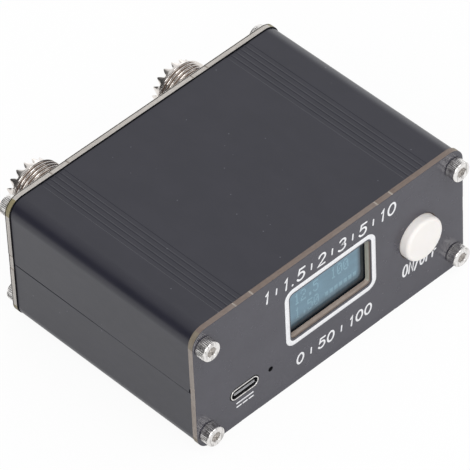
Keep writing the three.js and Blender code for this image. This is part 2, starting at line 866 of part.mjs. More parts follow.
// A comb of contacts standing on the main board against an upright board
function headerGeometry(left, front) {
  const length = headerPins * headerPinSpacing;
  const top = mainBoardTop + headerHeight;
  const body = block([left, left + length], [front, front + headerDepth], [mainBoardTop, top]);
  const notches = [];
  for (let i = 1; i < headerPins; i += 1) {
    const across = about(left + i * headerPinSpacing, headerNotch);
    const depth = [front - overrun, front + headerDepth + overrun];
    notches.push(block(across, depth, [top - headerNotch, top + overrun]));
  }
  return toGeometry(cutAway(toSolid(body), notches));
}

function buildHeaders() {
  const displayBoardLeft = windowAcross - glassNotchHalf;
  const displayHeader = headerGeometry(displayBoardLeft + displayHeaderInset, displayBoardRear);
  const rfHeader = headerGeometry(rfHeaderInset - rfBoardHalfWidth, rfBoardFront - headerDepth);
  addPart('display_header', displayHeader, blackPlastic);
  addPart('rf_header', rfHeader, blackPlastic);
}

// USB-C port, drawn about its own axis from the front panel's outer face

function buildUsb() {
  const group = addGroup(usbAcross, frontFace, usbCentre);
  const front = -usbProud;
  const rear = front + usbLength;
  const innerWidth = usbWidth - 2 * usbWall;
  const innerHeight = usbHeight - 2 * usbWall;
  const tube = extrudeBack(usbOutline(0, 0, 0), front, usbLength, [usbOutline(-usbWall, 0, 0)]);
  const tabLevel = mainBoardTop - usbCentre;
  const tabs = [];
  for (const side of [-1, 1]) {
    const inner = usbWidth / 2 - usbWall / 2 - usbTabOverlap;
    const outer = usbWidth / 2 + usbTabReach;
    const across = side < 0 ? [-outer, -inner] : [inner, outer];
    for (const share of usbTabShares) {
      const along = about(front + usbLength * share, usbTabLength);
      tabs.push(block(across, along, [tabLevel, tabLevel + usbTabThickness]));
    }
  }
  const bore = extrudeBack(usbOutline(-usbWall, 0, 0), front - overrun, usbLength + 2 * overrun);
  const shell = cutAway(joinAll([tube, ...tabs]), [bore]);
  addPart('usb_shell', toGeometry(shell), steel, group);

  const blockOutline = roundedRectangle(
    0,
    0,
    innerWidth - 2 * usbInnerGap,
    innerHeight - 2 * usbInnerGap,
    innerHeight / 2 - usbInnerGap,
    stadiumSteps,
  );
  const blockFront = rear - tongueBlockLength;
  const rearBlock = extrudeBack(blockOutline, blockFront, tongueBlockLength);
  const bladeDepth = [front + tongueRecess, blockFront + tongueBlockLength / 2];
  const blade = block(about(0, tongueWidth), bladeDepth, about(0, tongueThickness));
  addPart('usb_tongue', toGeometry(joinAll([rearBlock, blade])), blackPlastic, group);
}

function buildLamp() {
  const along = [mainBoardFront, mainBoardFront + lampDepth];
  const lamp = block(about(lampAcross, lampWidth), along, [mainBoardTop, mainBoardTop + lampHeight]);
  addPart('charge_lamp', closedGeometry(lamp), lampResin);
}

// Battery, its tape, plug and leads

function buildBattery() {
  const width = batteryRight - batteryLeft;
  const middle = (batteryLeft + batteryRight) / 2;
  const top = batteryBottom + batteryHeight;
  const outline = roundedRectangle(
    middle,
    batteryBottom + batteryHeight / 2,
    width,
    batteryHeight,
    batteryCornerRadius,
    windowSteps,
  );
  const cell = extrudeBack(outline, batteryFront, batteryRear - batteryFront);
  addPart('battery_cell', closedGeometry(cell), batteryFoil);

  const tapeAcross = [batteryLeft + tapeMargin, batteryRight - tapeMargin];
  const tapeAlong = [batteryFront + tapeMargin, batteryRear - tapeMargin];
  const tape = block(tapeAcross, tapeAlong, [mainBoardTop, batteryBottom]);
  addPart('battery_tape', closedGeometry(tape), foam);

  const plugMiddle = batteryFront + plugWidth / 2 + partGap;
  const socketLeft = rightStripCentre - plugDepth / 2;
  const plugBottom = mainBoardTop + plugSocketWall + plugGap;
  const plugTop = plugBottom + plugHeight;
  const socketAlong = about(plugMiddle, plugWidth + 2 * (plugSocketWall + plugGap));
  const socketRight = socketLeft + plugDepth + plugSocketWall + plugGap;
  const socketHeight = [mainBoardTop, plugTop + plugGap + plugSocketWall];
  const socketBody = block([socketLeft, socketRight], socketAlong, socketHeight);
  const mouth = block(
    [socketLeft - overrun, socketLeft + plugDepth + plugGap],
    about(plugMiddle, plugWidth + 2 * plugGap),
    [plugBottom - plugGap, plugTop + plugGap],
  );
  addPart('battery_socket', toGeometry(cutAway(toSolid(socketBody), [mouth])), whitePlastic);
  const plugAlong = about(plugMiddle, plugWidth);
  const plug = block([socketLeft, socketLeft + plugDepth], plugAlong, [plugBottom, plugTop]);
  addPart('battery_plug', closedGeometry(plug), whitePlastic);

  const leads = [[-1, 'black', blackLead], [1, 'red', redLead]];
  for (const [side, colour, finish] of leads) {
    const along = plugMiddle + (side * leadSpacing) / 2;
    const start = batteryRight + leadEndGap;
    const end = socketLeft - leadEndGap;
    const points = leadHeightShares.map((share, i) => {
      const x = start + ((end - start) * i) / (leadHeightShares.length - 1);
      const isLast = i === leadHeightShares.length - 1;
      const z = isLast ? (plugBottom + plugTop) / 2 : batteryBottom + (top - batteryBottom) * share;
      return new THREE.Vector3(x, along, z);
    });
    const path = new THREE.CatmullRomCurve3(points);
    const lead = tubeAlong(path, leadRadius, wireSides, leadSteps);
    addPart(`battery_lead_${colour}`, closedGeometry(lead), finish);
  }
}

// Chips and other parts on the main board, in the strips beside the battery

function chip(x, y, width, depth, height) {
  const outline = roundedRectangle(x, y, width, depth, chipCornerRadius, windowSteps);
  return closedGeometry(extrudeUp(outline, mainBoardTop, height));
}

function buildMainBoardParts() {
  const chargerMiddle = batteryFront + chargerDepth / 2;
  const inductorMiddle = chargerMiddle + chargerDepth / 2 + partGap + inductorWidth / 2;
  const controllerMiddle = batteryFront + plugWidth + controllerSetback + controllerWidth / 2;
  const capacitorMiddle = controllerMiddle + controllerWidth / 2 + partGap + capacitorRadius;
  const charger = chip(leftStripCentre, chargerMiddle, chargerWidth, chargerDepth, chargerHeight);
  const inductor = chip(leftStripCentre, inductorMiddle, inductorWidth, inductorWidth, inductorHeight);
  const controller = chip(
    rightStripCentre,
    controllerMiddle,
    controllerWidth,
    controllerWidth,
    controllerHeight,
  );
  const can = circle(rightStripCentre, capacitorMiddle, capacitorRadius, holeSteps);
  addPart('charger_chip', charger, chipBody);
  addPart('power_inductor', inductor, ferrite);
  addPart('microcontroller', controller, chipBody);
  addPart('filter_capacitor', closedGeometry(extrudeUp(can, mainBoardTop, capacitorHeight)), canMetal);
}

// UHF sockets, drawn about their axis from the rear panel's outer face

// Rings of thread from the panel outwards, as [radius, depth] pairs
function threadProfile(start) {
  const profile = [];
  for (let i = 0; i < threadTurns; i += 1) {
    const crest = start + (i + 0.5) * threadPitch;
    profile.push([threadRadius, crest], [threadRadius - threadDepth, crest + threadPitch / 2]);
  }
  return profile;
}

// Every second point of the rim drops to leave a crown of pointed teeth
function cutCrown(geometry, rimDepth) {
  const position = geometry.attributes.position;
  const perSpoke = position.count / (socketSteps + 1);
  for (let i = 0; i < position.count; i += 1) {
    const spoke = Math.floor(i / perSpoke);
    const isRim = Math.abs(position.getY(i) - rimDepth) < mergeDistance;
    if (isRim && spoke % 2 === 1) position.setY(i, rimDepth - toothHeight);
  }
  return geometry;
}

function socketBodyGeometry() {
  const root = threadRadius - threadDepth;
  const flangeFront = -panelThickness - socketFlangeThickness;
  const back = flangeFront - socketBackLength;
  const threadStart = socketProud - toothHeight - crownCollarLength - threadTurns * threadPitch;
  const profile = [
    [socketLipRadius, back],
    [socketBackRadius, back],
    [socketBackRadius, flangeFront],
    [socketFlangeRadius, flangeFront],
    [socketFlangeRadius, -panelThickness],
    [threadRadius, -panelThickness],
    [threadRadius, threadStart - threadPitch / 2],
    [root, threadStart],
    ...threadProfile(threadStart),
    [crownRadius, socketProud - toothHeight - crownCollarLength],
    [crownRadius, socketProud - toothHeight],
    [crownRadius, socketProud],
    [socketBoreRadius, socketProud],
    [socketBoreRadius, socketProud - toothHeight],
    [socketBoreRadius, back + socketLipThickness],
    [socketLipRadius, back + socketLipThickness],
    [socketLipRadius, back],
  ];
  return closedGeometry(cutCrown(turn(profile, socketSteps), socketProud));
}

function nutGeometry() {
  const cornerRadius = nutAcrossFlats / 2 / Math.cos(Math.PI / hexSides);
  const bevelRadius = cornerRadius - nutBevel;
  const start = washerThickness;
  const end = start + nutThickness;
  const bevelRise = nutBevel / 2;
  const hex = new THREE.CylinderGeometry(cornerRadius, cornerRadius, nutThickness, hexSides);
  hex.translate(0, start + nutThickness / 2, 0);
  const roundOff = turn(
    [
      [0, start],
      [bevelRadius, start],
      [cornerRadius + nutBevel, start + 2 * bevelRise],
      [cornerRadius + nutBevel, end - 2 * bevelRise],
      [bevelRadius, end],
      [0, end],
    ],
    coreSteps,
  );
  const boreOutline = circle(0, 0, socketHoleRadius, socketSteps);
  const bore = extrudeBack(boreOutline, start - overrun, nutThickness + 2 * overrun);
  return toGeometry(toSolid(hex).intersect(toSolid(roundOff)).subtract(toSolid(bore)));
}

// A ring with teeth that point inwards
function washerGeometry() {
  const inner = [];
  for (let i = 0; i < washerTeeth; i += 1) {
    const tip = circlePoint(socketHoleRadius, i / washerTeeth);
    const gap = circlePoint(socketHoleRadius + washerToothDepth, (i + 0.5) / washerTeeth);
    inner.push(tip, gap);
  }
  const outer = circle(0, 0, washerRadius, washerTeeth * 2);
  return closedGeometry(extrudeBack(outer, 0, washerThickness, [inner]));
}

function circlePoint(radius, turnShare) {
  const angle = fullTurn * turnShare;
  return new THREE.Vector2(radius * Math.cos(angle), radius * Math.sin(angle));
}

function insulatorGeometry() {
  const back = -panelThickness - socketFlangeThickness - socketBackLength + socketLipThickness;
  const front = socketProud - insulatorRecess;
  const step = back + contactShoulder;
  const outer = socketBoreRadius - insulatorGap;
  const profile = [
    [contactPinRadius + insulatorGap, back],
    [outer, back],
    [outer, front],
    [contactRadius + insulatorGap, front],
    [contactRadius + insulatorGap, step],
    [contactPinRadius + insulatorGap, step],
    [contactPinRadius + insulatorGap, back],
  ];
  return closedGeometry(turn(profile, coreSteps));
}

function contactGeometry() {
  const back = -panelThickness - socketFlangeThickness - socketBackLength;
  const step = back + socketLipThickness + contactShoulder;
  const tip = socketProud - contactRecess;
  const profile = [
    [0, back - boardThickness - contactTail],
    [contactPinRadius, back - boardThickness - contactTail],
    [contactPinRadius, step],
    [contactRadius, step],
    [contactRadius, tip],
    [contactBoreRadius, tip],
    [contactBoreRadius, tip - contactBoreDepth],
    [0, tip - contactBoreDepth],
  ];
  const depth = [tip - contactSlitDepth, tip + overrun];
  const span = about(0, (contactRadius + overrun) * 2);
  const slits = [
    block(span, depth, about(0, contactSlitWidth)),
    block(about(0, contactSlitWidth), depth, span),
  ];
  return toGeometry(cutAway(toSolid(turn(profile, coreSteps)), slits));
}

function buildSockets() {
  for (const [side, name] of [[-1, 'left'], [1, 'right']]) {
    const group = addGroup(side * socketAcross, rearFace, socketCentre);
    addPart(`socket_body_${name}`, socketBodyGeometry(), nickel, group);
    addPart(`socket_washer_${name}`, washerGeometry(), steel, group);
    addPart(`socket_nut_${name}`, nutGeometry(), nickel, group);
    addPart(`socket_insulator_${name}`, insulatorGeometry(), fluoropolymer, group);
    addPart(`socket_contact_${name}`, contactGeometry(), gilt, group);
  }
}

// Directional coupler

// The through wire runs from one centre contact, through both rings, to the other
function buildLineWire() {
  const contactEnd = socketRear - boardThickness - contactTail;
  const start = contactEnd - wireEndGap;
  const cut = wireBend * wireCornerShare;
  const corner = [-1, 1].map((side) => [
    new THREE.Vector3(side * socketAcross, start, socketCentre),
    new THREE.Vector3(side * socketAcross, wireDepth + wireBend, socketCentre),
    new THREE.Vector3(side * (socketAcross - cut), wireDepth + cut, socketCentre),
    new THREE.Vector3(side * (socketAcross - wireBend), wireDepth, socketCentre),
  ]);
  const middle = new THREE.Vector3(0, wireDepth, socketCentre);
  const points = [...corner[0], middle, ...corner[1].reverse()];
  const path = new THREE.CatmullRomCurve3(points, false, 'centripetal');
  addPart('line_wire', closedGeometry(tubeAlong(path, wireRadius, wireSides, wireSteps)), tinnedCopper);
}

function coreGeometry() {
  const half = coreHeight / 2;
  const profile = [
    [coreInnerRadius + coreBevel, -half],
    [coreOuterRadius - coreBevel, -half],
    [coreOuterRadius, -half + coreBevel],
    [coreOuterRadius, half - coreBevel],
    [coreOuterRadius - coreBevel, half],
    [coreInnerRadius + coreBevel, half],
    [coreInnerRadius, half - coreBevel],
    [coreInnerRadius, -half + coreBevel],
    [coreInnerRadius + coreBevel, -half],
  ];
  return closedGeometry(turn(profile, coreSteps));
}

// A winding: a squared helix bent round the ring, with a lead at each end that runs back to the board
function windingGeometry() {
  const reach = windingGap + windingWireRadius;
  const halfWidth = (coreOuterRadius - coreInnerRadius) / 2 + reach;
  const halfHeight = coreHeight / 2 + reach;
  const squared = (value) => Math.sign(value) * Math.abs(value) ** windingSquareShare;
  const count = windingTurns * windingStepsPerTurn;
  const points = [];
  for (let i = 0; i <= count; i += 1) {
    const ringAngle = fullTurn * windingSweepShare * (i / count - 0.5);
    const loopAngle = (fullTurn * i) / windingStepsPerTurn;
    const radius = (coreInnerRadius + coreOuterRadius) / 2 + halfWidth * squared(Math.cos(loopAngle));
    const height = halfHeight * squared(Math.sin(loopAngle));
    points.push(new THREE.Vector3(radius * Math.cos(ringAngle), height, radius * Math.sin(ringAngle)));
  }
  const leadEnd = wireDepth - rfBoardFront + windingLeadGap;
  const first = points[0];
  const last = points[count];
  const start = new THREE.Vector3(leadEnd, 0, first.z);
  const end = new THREE.Vector3(leadEnd, 0, last.z);
  const path = new THREE.CatmullRomCurve3([start, ...points, end], false, 'centripetal');
  return closedGeometry(tubeAlong(path, windingWireRadius, windingSides, count));
}

function buildCoupler() {
  for (const [side, name] of [[-1, 'forward'], [1, 'reflected']]) {
    const ring = addGroup(side * coreAcross, wireDepth, socketCentre);
    ring.rotation.z = -quarterTurn;
    addPart(`${name}_core`, coreGeometry(), ferrite, ring);
    addPart(`${name}_winding`, windingGeometry(), enamelWire, ring);
  }

  const resistorTop = rfBoardTop - resistorInset;
  for (const [side, name] of [[-1, 'left'], [1, 'right']]) {
    const across = about(side * (rfBoardHalfWidth - resistorInset - resistorWidth / 2), resistorWidth);
    const depth = [rfBoardFront - resistorThickness, rfBoardFront];
    const resistor = block(across, depth, [resistorTop - resistorHeight, resistorTop]);
    addPart(`load_resistor_${name}`, closedGeometry(resistor), chipBody);
  }
}

buildShells();
buildPanels();
buildScrews();
buildSwitch();
buildDisplay();
buildDisplayBoard();
buildMainBoard();
buildRfBoard();
buildHeaders();
buildUsb();
buildLamp();
buildBattery();
buildMainBoardParts();
buildSockets();
buildLineWire();
buildCoupler();

export default meter;
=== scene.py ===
import json
import math

import bmesh
import bpy
from mathutils import Matrix, Vector
from mathutils.geometry import tessellate_polygon


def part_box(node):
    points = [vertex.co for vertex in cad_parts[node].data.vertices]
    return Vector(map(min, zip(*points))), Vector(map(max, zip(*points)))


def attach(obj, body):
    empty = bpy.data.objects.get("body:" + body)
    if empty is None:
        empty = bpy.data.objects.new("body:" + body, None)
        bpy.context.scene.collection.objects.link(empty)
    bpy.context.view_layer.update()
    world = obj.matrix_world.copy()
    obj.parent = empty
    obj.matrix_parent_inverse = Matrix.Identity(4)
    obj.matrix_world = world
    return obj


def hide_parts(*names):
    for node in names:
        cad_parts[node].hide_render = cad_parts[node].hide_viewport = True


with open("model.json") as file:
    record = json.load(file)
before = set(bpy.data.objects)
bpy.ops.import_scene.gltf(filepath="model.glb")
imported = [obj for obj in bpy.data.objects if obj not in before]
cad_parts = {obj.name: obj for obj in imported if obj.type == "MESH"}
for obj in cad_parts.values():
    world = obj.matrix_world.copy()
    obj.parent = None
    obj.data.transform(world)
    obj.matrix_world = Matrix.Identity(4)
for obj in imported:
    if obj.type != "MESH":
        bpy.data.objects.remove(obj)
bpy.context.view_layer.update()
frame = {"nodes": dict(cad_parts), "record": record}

MM = 0.001
FULL_TURN = 2 * math.pi
SMOOTH_ANGLE = math.radians(32)
MERGE_DISTANCE = 0.0005


def node_box(name):
    """The lowest and highest corners of a CAD node, in millimetres."""
    low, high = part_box(name)
    return low / MM, high / MM


def face_middle(low, high):
    """The middle of a box as the front shows it, in X and Z."""
    return (low.x + high.x) / 2, (low.z + high.z) / 2


# Case and panels, measured from the frame
shell_high = node_box("upper_shell")[1]
base_high = node_box("lower_shell")[1]
panel_low, panel_high = node_box("front_panel")
rear_low, rear_high = node_box("rear_panel")
cap_low, cap_high = node_box("button_cap")
glass_low, glass_high = node_box("display_glass")
port_low, port_high = node_box("usb_shell")
board_low, board_high = node_box("main_board")
socket_low, socket_high = node_box("socket_body_right")

FRONT_FACE = panel_low.y
FRONT_INNER = panel_high.y
REAR_INNER = rear_low.y
REAR_FACE = rear_high.y
PANEL_HALF_WIDTH = panel_high.x
PANEL_HEIGHT = panel_high.z
SHELL_HALF_WIDTH = shell_high.x
SHELL_HEIGHT = shell_high.z
MID_HEIGHT = PANEL_HEIGHT / 2

PANEL_CORNER = 4.4
PANEL_THICKNESS = 1.6
PANEL_EDGE_BEVEL = 0.06
HOLE_BEVEL = 0.08
CORNER_STEPS = 14

SHELL_CORNER = 4.2
SHELL_WALL = 1.6
SHELL_END_BEVEL = 0.06
SHELL_END_GAP = 0.1
SHELL_END_STEP = 0.05
SEAM_GAP = 0.16
SEAM_BEVEL = 0.08
SEAM_BEVEL_SHARE = 0.6
SEAM_HEIGHT = base_high.z + SEAM_GAP / 2
SEAM_LIP = 0.7
SEAM_LIP_HEIGHT = 1
SEAM_SIDE_GAP = 0.1
GROOVE_COUNT = 5
GROOVE_PITCH = 1.52
GROOVE_WIDTH = 1.3
GROOVE_WALL = 0.14
GROOVE_DEPTH = 0.08
GROOVE_STEPS = 5
GROOVE_BAND = 30.2
FLAT_MARGIN = 0.05
CHANNEL_RADIUS = 2.5
CHANNEL_HOLE = 1.6
CHANNEL_SLOT = 1.2
CHANNEL_SLOT_ANGLE = 135
CHANNEL_STEPS = 6
RAIL_REACH = 1.5
RAIL_THICKNESS = 0.9
RAIL_GAP = 0.1
SCREW_SIDE_INSET = 3.3
SCREW_EDGE_INSET = 4.95
SCREW_ACROSS = PANEL_HALF_WIDTH - SCREW_SIDE_INSET
SCREW_HEIGHTS = (SCREW_EDGE_INSET, PANEL_HEIGHT - SCREW_EDGE_INSET)

# Window, button, port and lamp openings of the front panel
WINDOW_CENTRE = (-0.15, MID_HEIGHT + 2.8)
WINDOW_SIZE = (26.1, 14.3)
WINDOW_CORNER = 1.2
WINDOW_SKIN = 0.2
WINDOW_RIM = 0.4
WINDOW_DRAFT = 0.38
WINDOW_RIM_SHARE = 0.2
BUTTON_CENTRE = face_middle(cap_low, cap_high)
BUTTON_RADIUS = (cap_high.x - cap_low.x) / 2
BUTTON_HOLE_GAP = 0.2
PORT_SIZE = (8.94, 3.26)
PORT_CENTRE = ((port_low.x + port_high.x) / 2, port_high.z - PORT_SIZE[1] / 2)
PORT_SLOT_GAP = 0.16
LAMP_HOLE = 0.65
LAMP_CENTRE = face_middle(*node_box("charge_lamp"))
SOCKET_HOLE = 8.24
SOCKET_ACROSS, SOCKET_LEVEL = face_middle(socket_low, socket_high)
PANEL_SCREW_HOLE = 1.7

# Marks that the break-off tabs left on the panels' edges: middle and half length
TOP_TABS = ((-27.2, 2.65), (18.3, 2.4))
SIDE_TABS = ((18.75, 2.15),)
TAB_NOTCH_WIDTH = 0.44
TAB_NOTCH_DEPTH = 0.12
TAB_RECESS = 0.05


# Mesh building


def add_faces(bm, row, other, finish, closed=True):
    """Joins two rows of points by a band of faces."""
    count = len(row) if closed else len(row) - 1
    for i in range(count):
        j = (i + 1) % len(row)
        bm.faces.new((row[i], row[j], other[j], other[i])).material_index = finish


def add_loft(bm, rings, finish=0, caps=True, wrap=False):
    """A skin over rings of points, each with as many points as the others."""
    rows = [[bm.verts.new(point) for point in ring] for ring in rings]
    for row, other in zip(rows, rows[1:]):
        add_faces(bm, row, other, finish)
    if wrap:
        add_faces(bm, rows[-1], rows[0], finish)
    elif caps:
        for row in (rows[0], rows[-1]):
            bm.faces.new(row).material_index = finish
    return rows


def finish_piece(bm, name, materials, slot, replaced=(), merge=True, body="case"):
    """Turns the built faces into a piece in metres that rides on a body."""
    if merge:
        bmesh.ops.remove_doubles(bm, verts=bm.verts, dist=MERGE_DISTANCE)
        bmesh.ops.dissolve_degenerate(bm, edges=bm.edges, dist=MERGE_DISTANCE)
    bmesh.ops.recalc_face_normals(bm, faces=bm.faces)
    bmesh.ops.scale(bm, verts=bm.verts, vec=(MM, MM, MM))
    mesh = bpy.data.meshes.new(name)
    bm.to_mesh(mesh)
    bm.free()
    mesh.shade_smooth()
    mesh.set_sharp_from_angle(angle=SMOOTH_ANGLE)
    piece = bpy.data.objects.new(name, mesh)
    bpy.context.scene.collection.objects.link(piece)
    for material in materials:
        mesh.materials.append(material)
    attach(piece, body)
    if replaced:
        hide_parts(*replaced)


def replace_node(bm, node, materials, slot, suffix="detail", **choices):
    """Finishes a piece that stands for one CAD node."""
    finish_piece(bm, f"{node}_{suffix}", materials, slot, [node], **choices)


def oval(a, b, half_a, half_b, start, end, steps=14):
    """Points on a part of an oval, both ends included. Angles are in degrees."""
    points = []
    for i in range(steps + 1):
        angle = math.radians(start + (end - start) * i / steps)
        points.append((a + half_a * math.cos(angle), b + half_b * math.sin(angle)))
    return points


def arc(a, b, radius, start, end, steps):
    return oval(a, b, radius, radius, start, end, steps)


def circle(a, b, radius, steps):
    return arc(a, b, radius, 0, 360 * (steps - 1) / steps, steps - 1)


def rounded_rectangle(centre, size, radius, steps, grow=0.0):
    """A rounded rectangle that can grow or shrink with its corners kept round."""
    a, b = centre
    half_a, half_b = size[0] / 2 - radius, size[1] / 2 - radius
    points = []
    for quarter, (side, level) in enumerate(((1, -1), (1, 1), (-1, 1), (-1, -1))):
        start = 90 * quarter - 90
        corner = (a + side * half_a, b + level * half_b)
        points += arc(*corner, radius + grow, start, start + 90, steps)
    return points


def at_depth(outline, depth):
    """Stands an outline drawn in X and Z at a depth along Y."""
    return [(a, depth, b) for a, b in outline]


def plate_rings(centre, size, radius, steps, sections):
    """Rings of one rounded rectangle, from how far each grows and its depth."""
    return [at_depth(rounded_rectangle(centre, size, radius, steps, grow), y) for grow, y in sections]


def lathe_rings(profile, columns, centre, facing=1, turn=0):
    """Rings about a Y axis from (radius, depth) pairs, each a number or a function of the angle.
    Facing -1 turns the depth to the front."""
    x, y, z = centre
    rings = []
    for radius, depth in profile:
        ring = []
        for i in range(columns):
            angle = FULL_TURN * i / columns
            reach = radius(angle) if callable(radius) else radius
            back = facing * (depth(angle) if callable(depth) else depth)
            turned = angle + turn
            ring.append((x + reach * math.cos(turned), y + back, z + reach * math.sin(turned)))
        rings.append(ring)
    return rings


def rounded_profile(corners, steps=5):
    """Rounds the corners of a (radius, depth, rounding) profile."""
    points = []
    for i, (radius, depth, rounding) in enumerate(corners):
        here = Vector((radius, depth))
        if not rounding:
            points.append((radius, depth))
            continue
        before = Vector(corners[i - 1][:2])
        after = Vector(corners[(i + 1) % len(corners)][:2])
        start = here + (before - here).normalized() * rounding
        end = here + (after - here).normalized() * rounding
        for k in range(steps + 1):
            share = k / steps
            point = start * (1 - share) ** 2 + here * 2 * share * (1 - share) + end * share**2
            points.append((point.x, point.y))
    return points


# Materials


def put(tree, target, value):
    """Gives a node's input another node's output or a plain value."""
    if isinstance(value, bpy.types.NodeSocket):
        tree.links.new(value, target)
    else:
        target.default_value = value


def add_node(tree, kind, inputs, output=0, **settings):
    """Adds a node, fills its inputs and gives back one of its outputs."""
    made = tree.nodes.new(f"ShaderNode{kind}")
    for key, value in settings.items():
        setattr(made, key, value)
    for key, value in inputs.items():
        put(tree, made.inputs[key], value)
    return made.outputs[output]


def map_range(tree, value, span, to_span=(0, 1), kind="LINEAR"):
    names = ("Value", "From Min", "From Max", "To Min", "To Max")
    inputs = dict(zip(names, (value, *span, *to_span)))
    return add_node(tree, "MapRange", inputs, "Result", interpolation_type=kind)


# Spans of the noise's value over which it turns from one thing to another
WIDE_SPAN = (0.3, 0.7)
CLOUD_SPAN = (0.35, 0.65)
NOISE_ROUGHNESS = 0.55


class Paint:
    """A procedural material: a Principled shader with a few linked nodes. A stretch is the size
    of a texture's features in millimetres, one for all axes or one for each."""

    def __init__(self, name, colour, roughness, metallic=0.0):
        self.material = bpy.data.materials.new(name)
        self.material.use_nodes = True
        self.tree = self.material.node_tree
        self.colour = colour
        self.place = self.node("TexCoord", {}, "Object")
        self.set("Base Color", (*colour, 1))
        self.set("Roughness", roughness)
        self.set("Metallic", metallic)

    def node(self, kind, inputs, output=0, **settings):
        return add_node(self.tree, kind, inputs, output, **settings)

    def set(self, name, value):
        put(self.tree, self.tree.nodes["Principled BSDF"].inputs[name], value)

    def stretched(self, stretch):
        sizes = stretch if isinstance(stretch, tuple) else (stretch,) * 3
        return self.node("Mapping", {"Vector": self.place, "Scale": [1 / (MM * size) for size in sizes]})

    def noise(self, stretch, detail=3.0):
        inputs = {"Scale": 1, "Detail": detail, "Roughness": NOISE_ROUGHNESS}
        return self.node("TexNoise", {"Vector": self.stretched(stretch), **inputs}, "Fac")

    def remap(self, value, span, to_span=(0, 1)):
        return map_range(self.tree, value, span, to_span)

    def fade(self, axis, start, end):
        """Rises smoothly from 0 to 1 between two values in millimetres."""
        return map_range(self.tree, axis, (start * MM, end * MM), kind="SMOOTHSTEP")

    def along(self, axis):
        """The place along one axis, in metres."""
        return self.node("SeparateXYZ", {0: self.place}, axis)

    def maths(self, operation, *values):
        return self.node("Math", dict(enumerate(values)), operation=operation)

    def mix(self, amount, *colours):
        """Blends two colours, each a tuple or another node's output."""
        first, second = [(*colour, 1) if isinstance(colour, tuple) else colour for colour in colours]
        return self.node("Mix", {0: amount, 6: first, 7: second}, 2, data_type="RGBA")

    def tint(self, other, stretch):
        """Clouds of a second colour over the first."""
        blended = self.mix(self.remap(self.noise(stretch), CLOUD_SPAN), self.colour, other)
        self.set("Base Color", blended)
        return blended

    def uneven(self, stretch, *span):
        """Roughness that varies between two values."""
        self.set("Roughness", self.remap(self.noise(stretch), WIDE_SPAN, span))

    def bump(self, stretch, depth, detail=3.0):
        """Relief of a real depth in millimetres."""
        inputs = {"Strength": 1, "Distance": depth * MM, "Height": self.noise(stretch, detail)}
        self.set("Normal", self.node("Bump", inputs, "Normal"))


def anodised_paint():
    """Dark blue-grey anodising over fine blasting, with the odd pale speck of dust."""
    paint = Paint("anodised_grey", (0.0168, 0.0168, 0.0262), 0.31)
    clouds = paint.tint((0.0198, 0.0194, 0.0296), (5, 9, 5))
    cells = paint.node("TexVoronoi", {"Scale": 1, "Vector": paint.stretched(4.1)}, "Distance")
    specks = paint.remap(cells, (0.03, 0.045), (1, 0))
    paint.set("Base Color", paint.mix(specks, clouds, (0.12, 0.12, 0.14)))
    paint.uneven((1.4, 3.2, 1.4), 0.29, 0.34)
    paint.bump(0.14, 0.004)
    return paint.material


def laminate_paint(name, colour, other):
    """The routed edge of a glass-fibre laminate: plies along it and fine saw marks across."""
    paint = Paint(name, colour, 0.5)
    clouds = paint.mix(paint.remap(paint.noise((1.6, 0.5, 1.6)), WIDE_SPAN), colour, other)
    plies = paint.remap(paint.noise((40, 0.16, 40), 1), CLOUD_SPAN, (0, 0.3))
    paint.set("Base Color", paint.mix(plies, clouds, tuple(0.6 * value for value in colour)))
    paint.bump((0.3, 1.5, 0.3), 0.02)
    return paint.material


def metal_paint(name, colour, other, roughness, marks=0.0006):
    """Plated metal with faint clouds and the fine rings that turning leaves."""
    paint = Paint(name, colour, roughness, 1.0)
    paint.tint(other, 1.5)
    paint.uneven(0.6, roughness * 0.85, roughness * 1.2)
    paint.bump((30, 0.14, 30), marks, 1)
    return paint.material


def steel_paint():
    """Bright plated steel with dull streaks left by the tool that turned it."""
    bright, dull = (0.84, 0.82, 0.8), (0.5, 0.485, 0.47)
    paint = Paint("screw_nickel", bright, 0.2, 1.0)
    streaks = paint.remap(paint.noise((0.45, 0.8, 2.4), 2), (0.52, 0.68))
    paint.set("Base Color", paint.mix(streaks, bright, dull))
    paint.uneven(0.6, 0.17, 0.26)
    paint.bump(0.9, 0.006)
    return paint.material


def plain_paint(name, colour, other, roughness, clouds, uneven=None, grain=None, sockets=None):
    """Clouds of a second colour, uneven roughness as a size and two values, a grain's size and
    depth, and values for other sockets of the shader."""
    paint = Paint(name, colour, roughness)
    paint.tint(other, clouds)
    for socket, value in (sockets or {}).items():
        paint.set(socket, value)
    if uneven:
        paint.uneven(*uneven)
    if grain:
        paint.bump(*grain)
    return paint.material


def plastic_paint(name, colour, other, roughness, grain, size=0.4):
    uneven = (1.2, roughness * 0.85, roughness * 1.15)
    return plain_paint(name, colour, other, roughness, 3, uneven, (size, grain))


def button_paint():
    """Warm white polished plastic that light sinks a little way into."""
    sockets = {
        "Subsurface Weight": 0.15,
        "Subsurface Radius": (0.6, 0.5, 0.4),
        "Subsurface Scale": 1 * MM,
    }
    bright, dull = (0.885, 0.85, 0.82), (0.87, 0.835, 0.8)
    return plain_paint("button_white", bright, dull, 0.4, 4, (1.5, 0.36, 0.44), (1.2, 0.001), sockets)


def lacquer_paint():
    """Dark violet-grey solder lacquer, glossy with a slight orange peel."""
    dark, pale = (0.046, 0.044, 0.058), (0.052, 0.05, 0.065)
    return plain_paint("panel_lacquer", dark, pale, 0.26, 6, (2.2, 0.22, 0.28), (1.3, 0.0015))


def skin_and_shade_paint():
    """Matt black skin of the laminate, on the panels' inner faces and in the plies of their edges. The
    rear panel's inner ply is also painted shade for the dark line where the panel meets the shell.
    """
    dark, pale = (0.007, 0.007, 0.009), (0.011, 0.011, 0.014)
    sockets = {"Specular IOR Level": 0.15}
    return plain_paint("laminate_skin_and_painted_shade", dark, pale, 0.6, 2, grain=(0.4, 0.004), sockets=sockets)


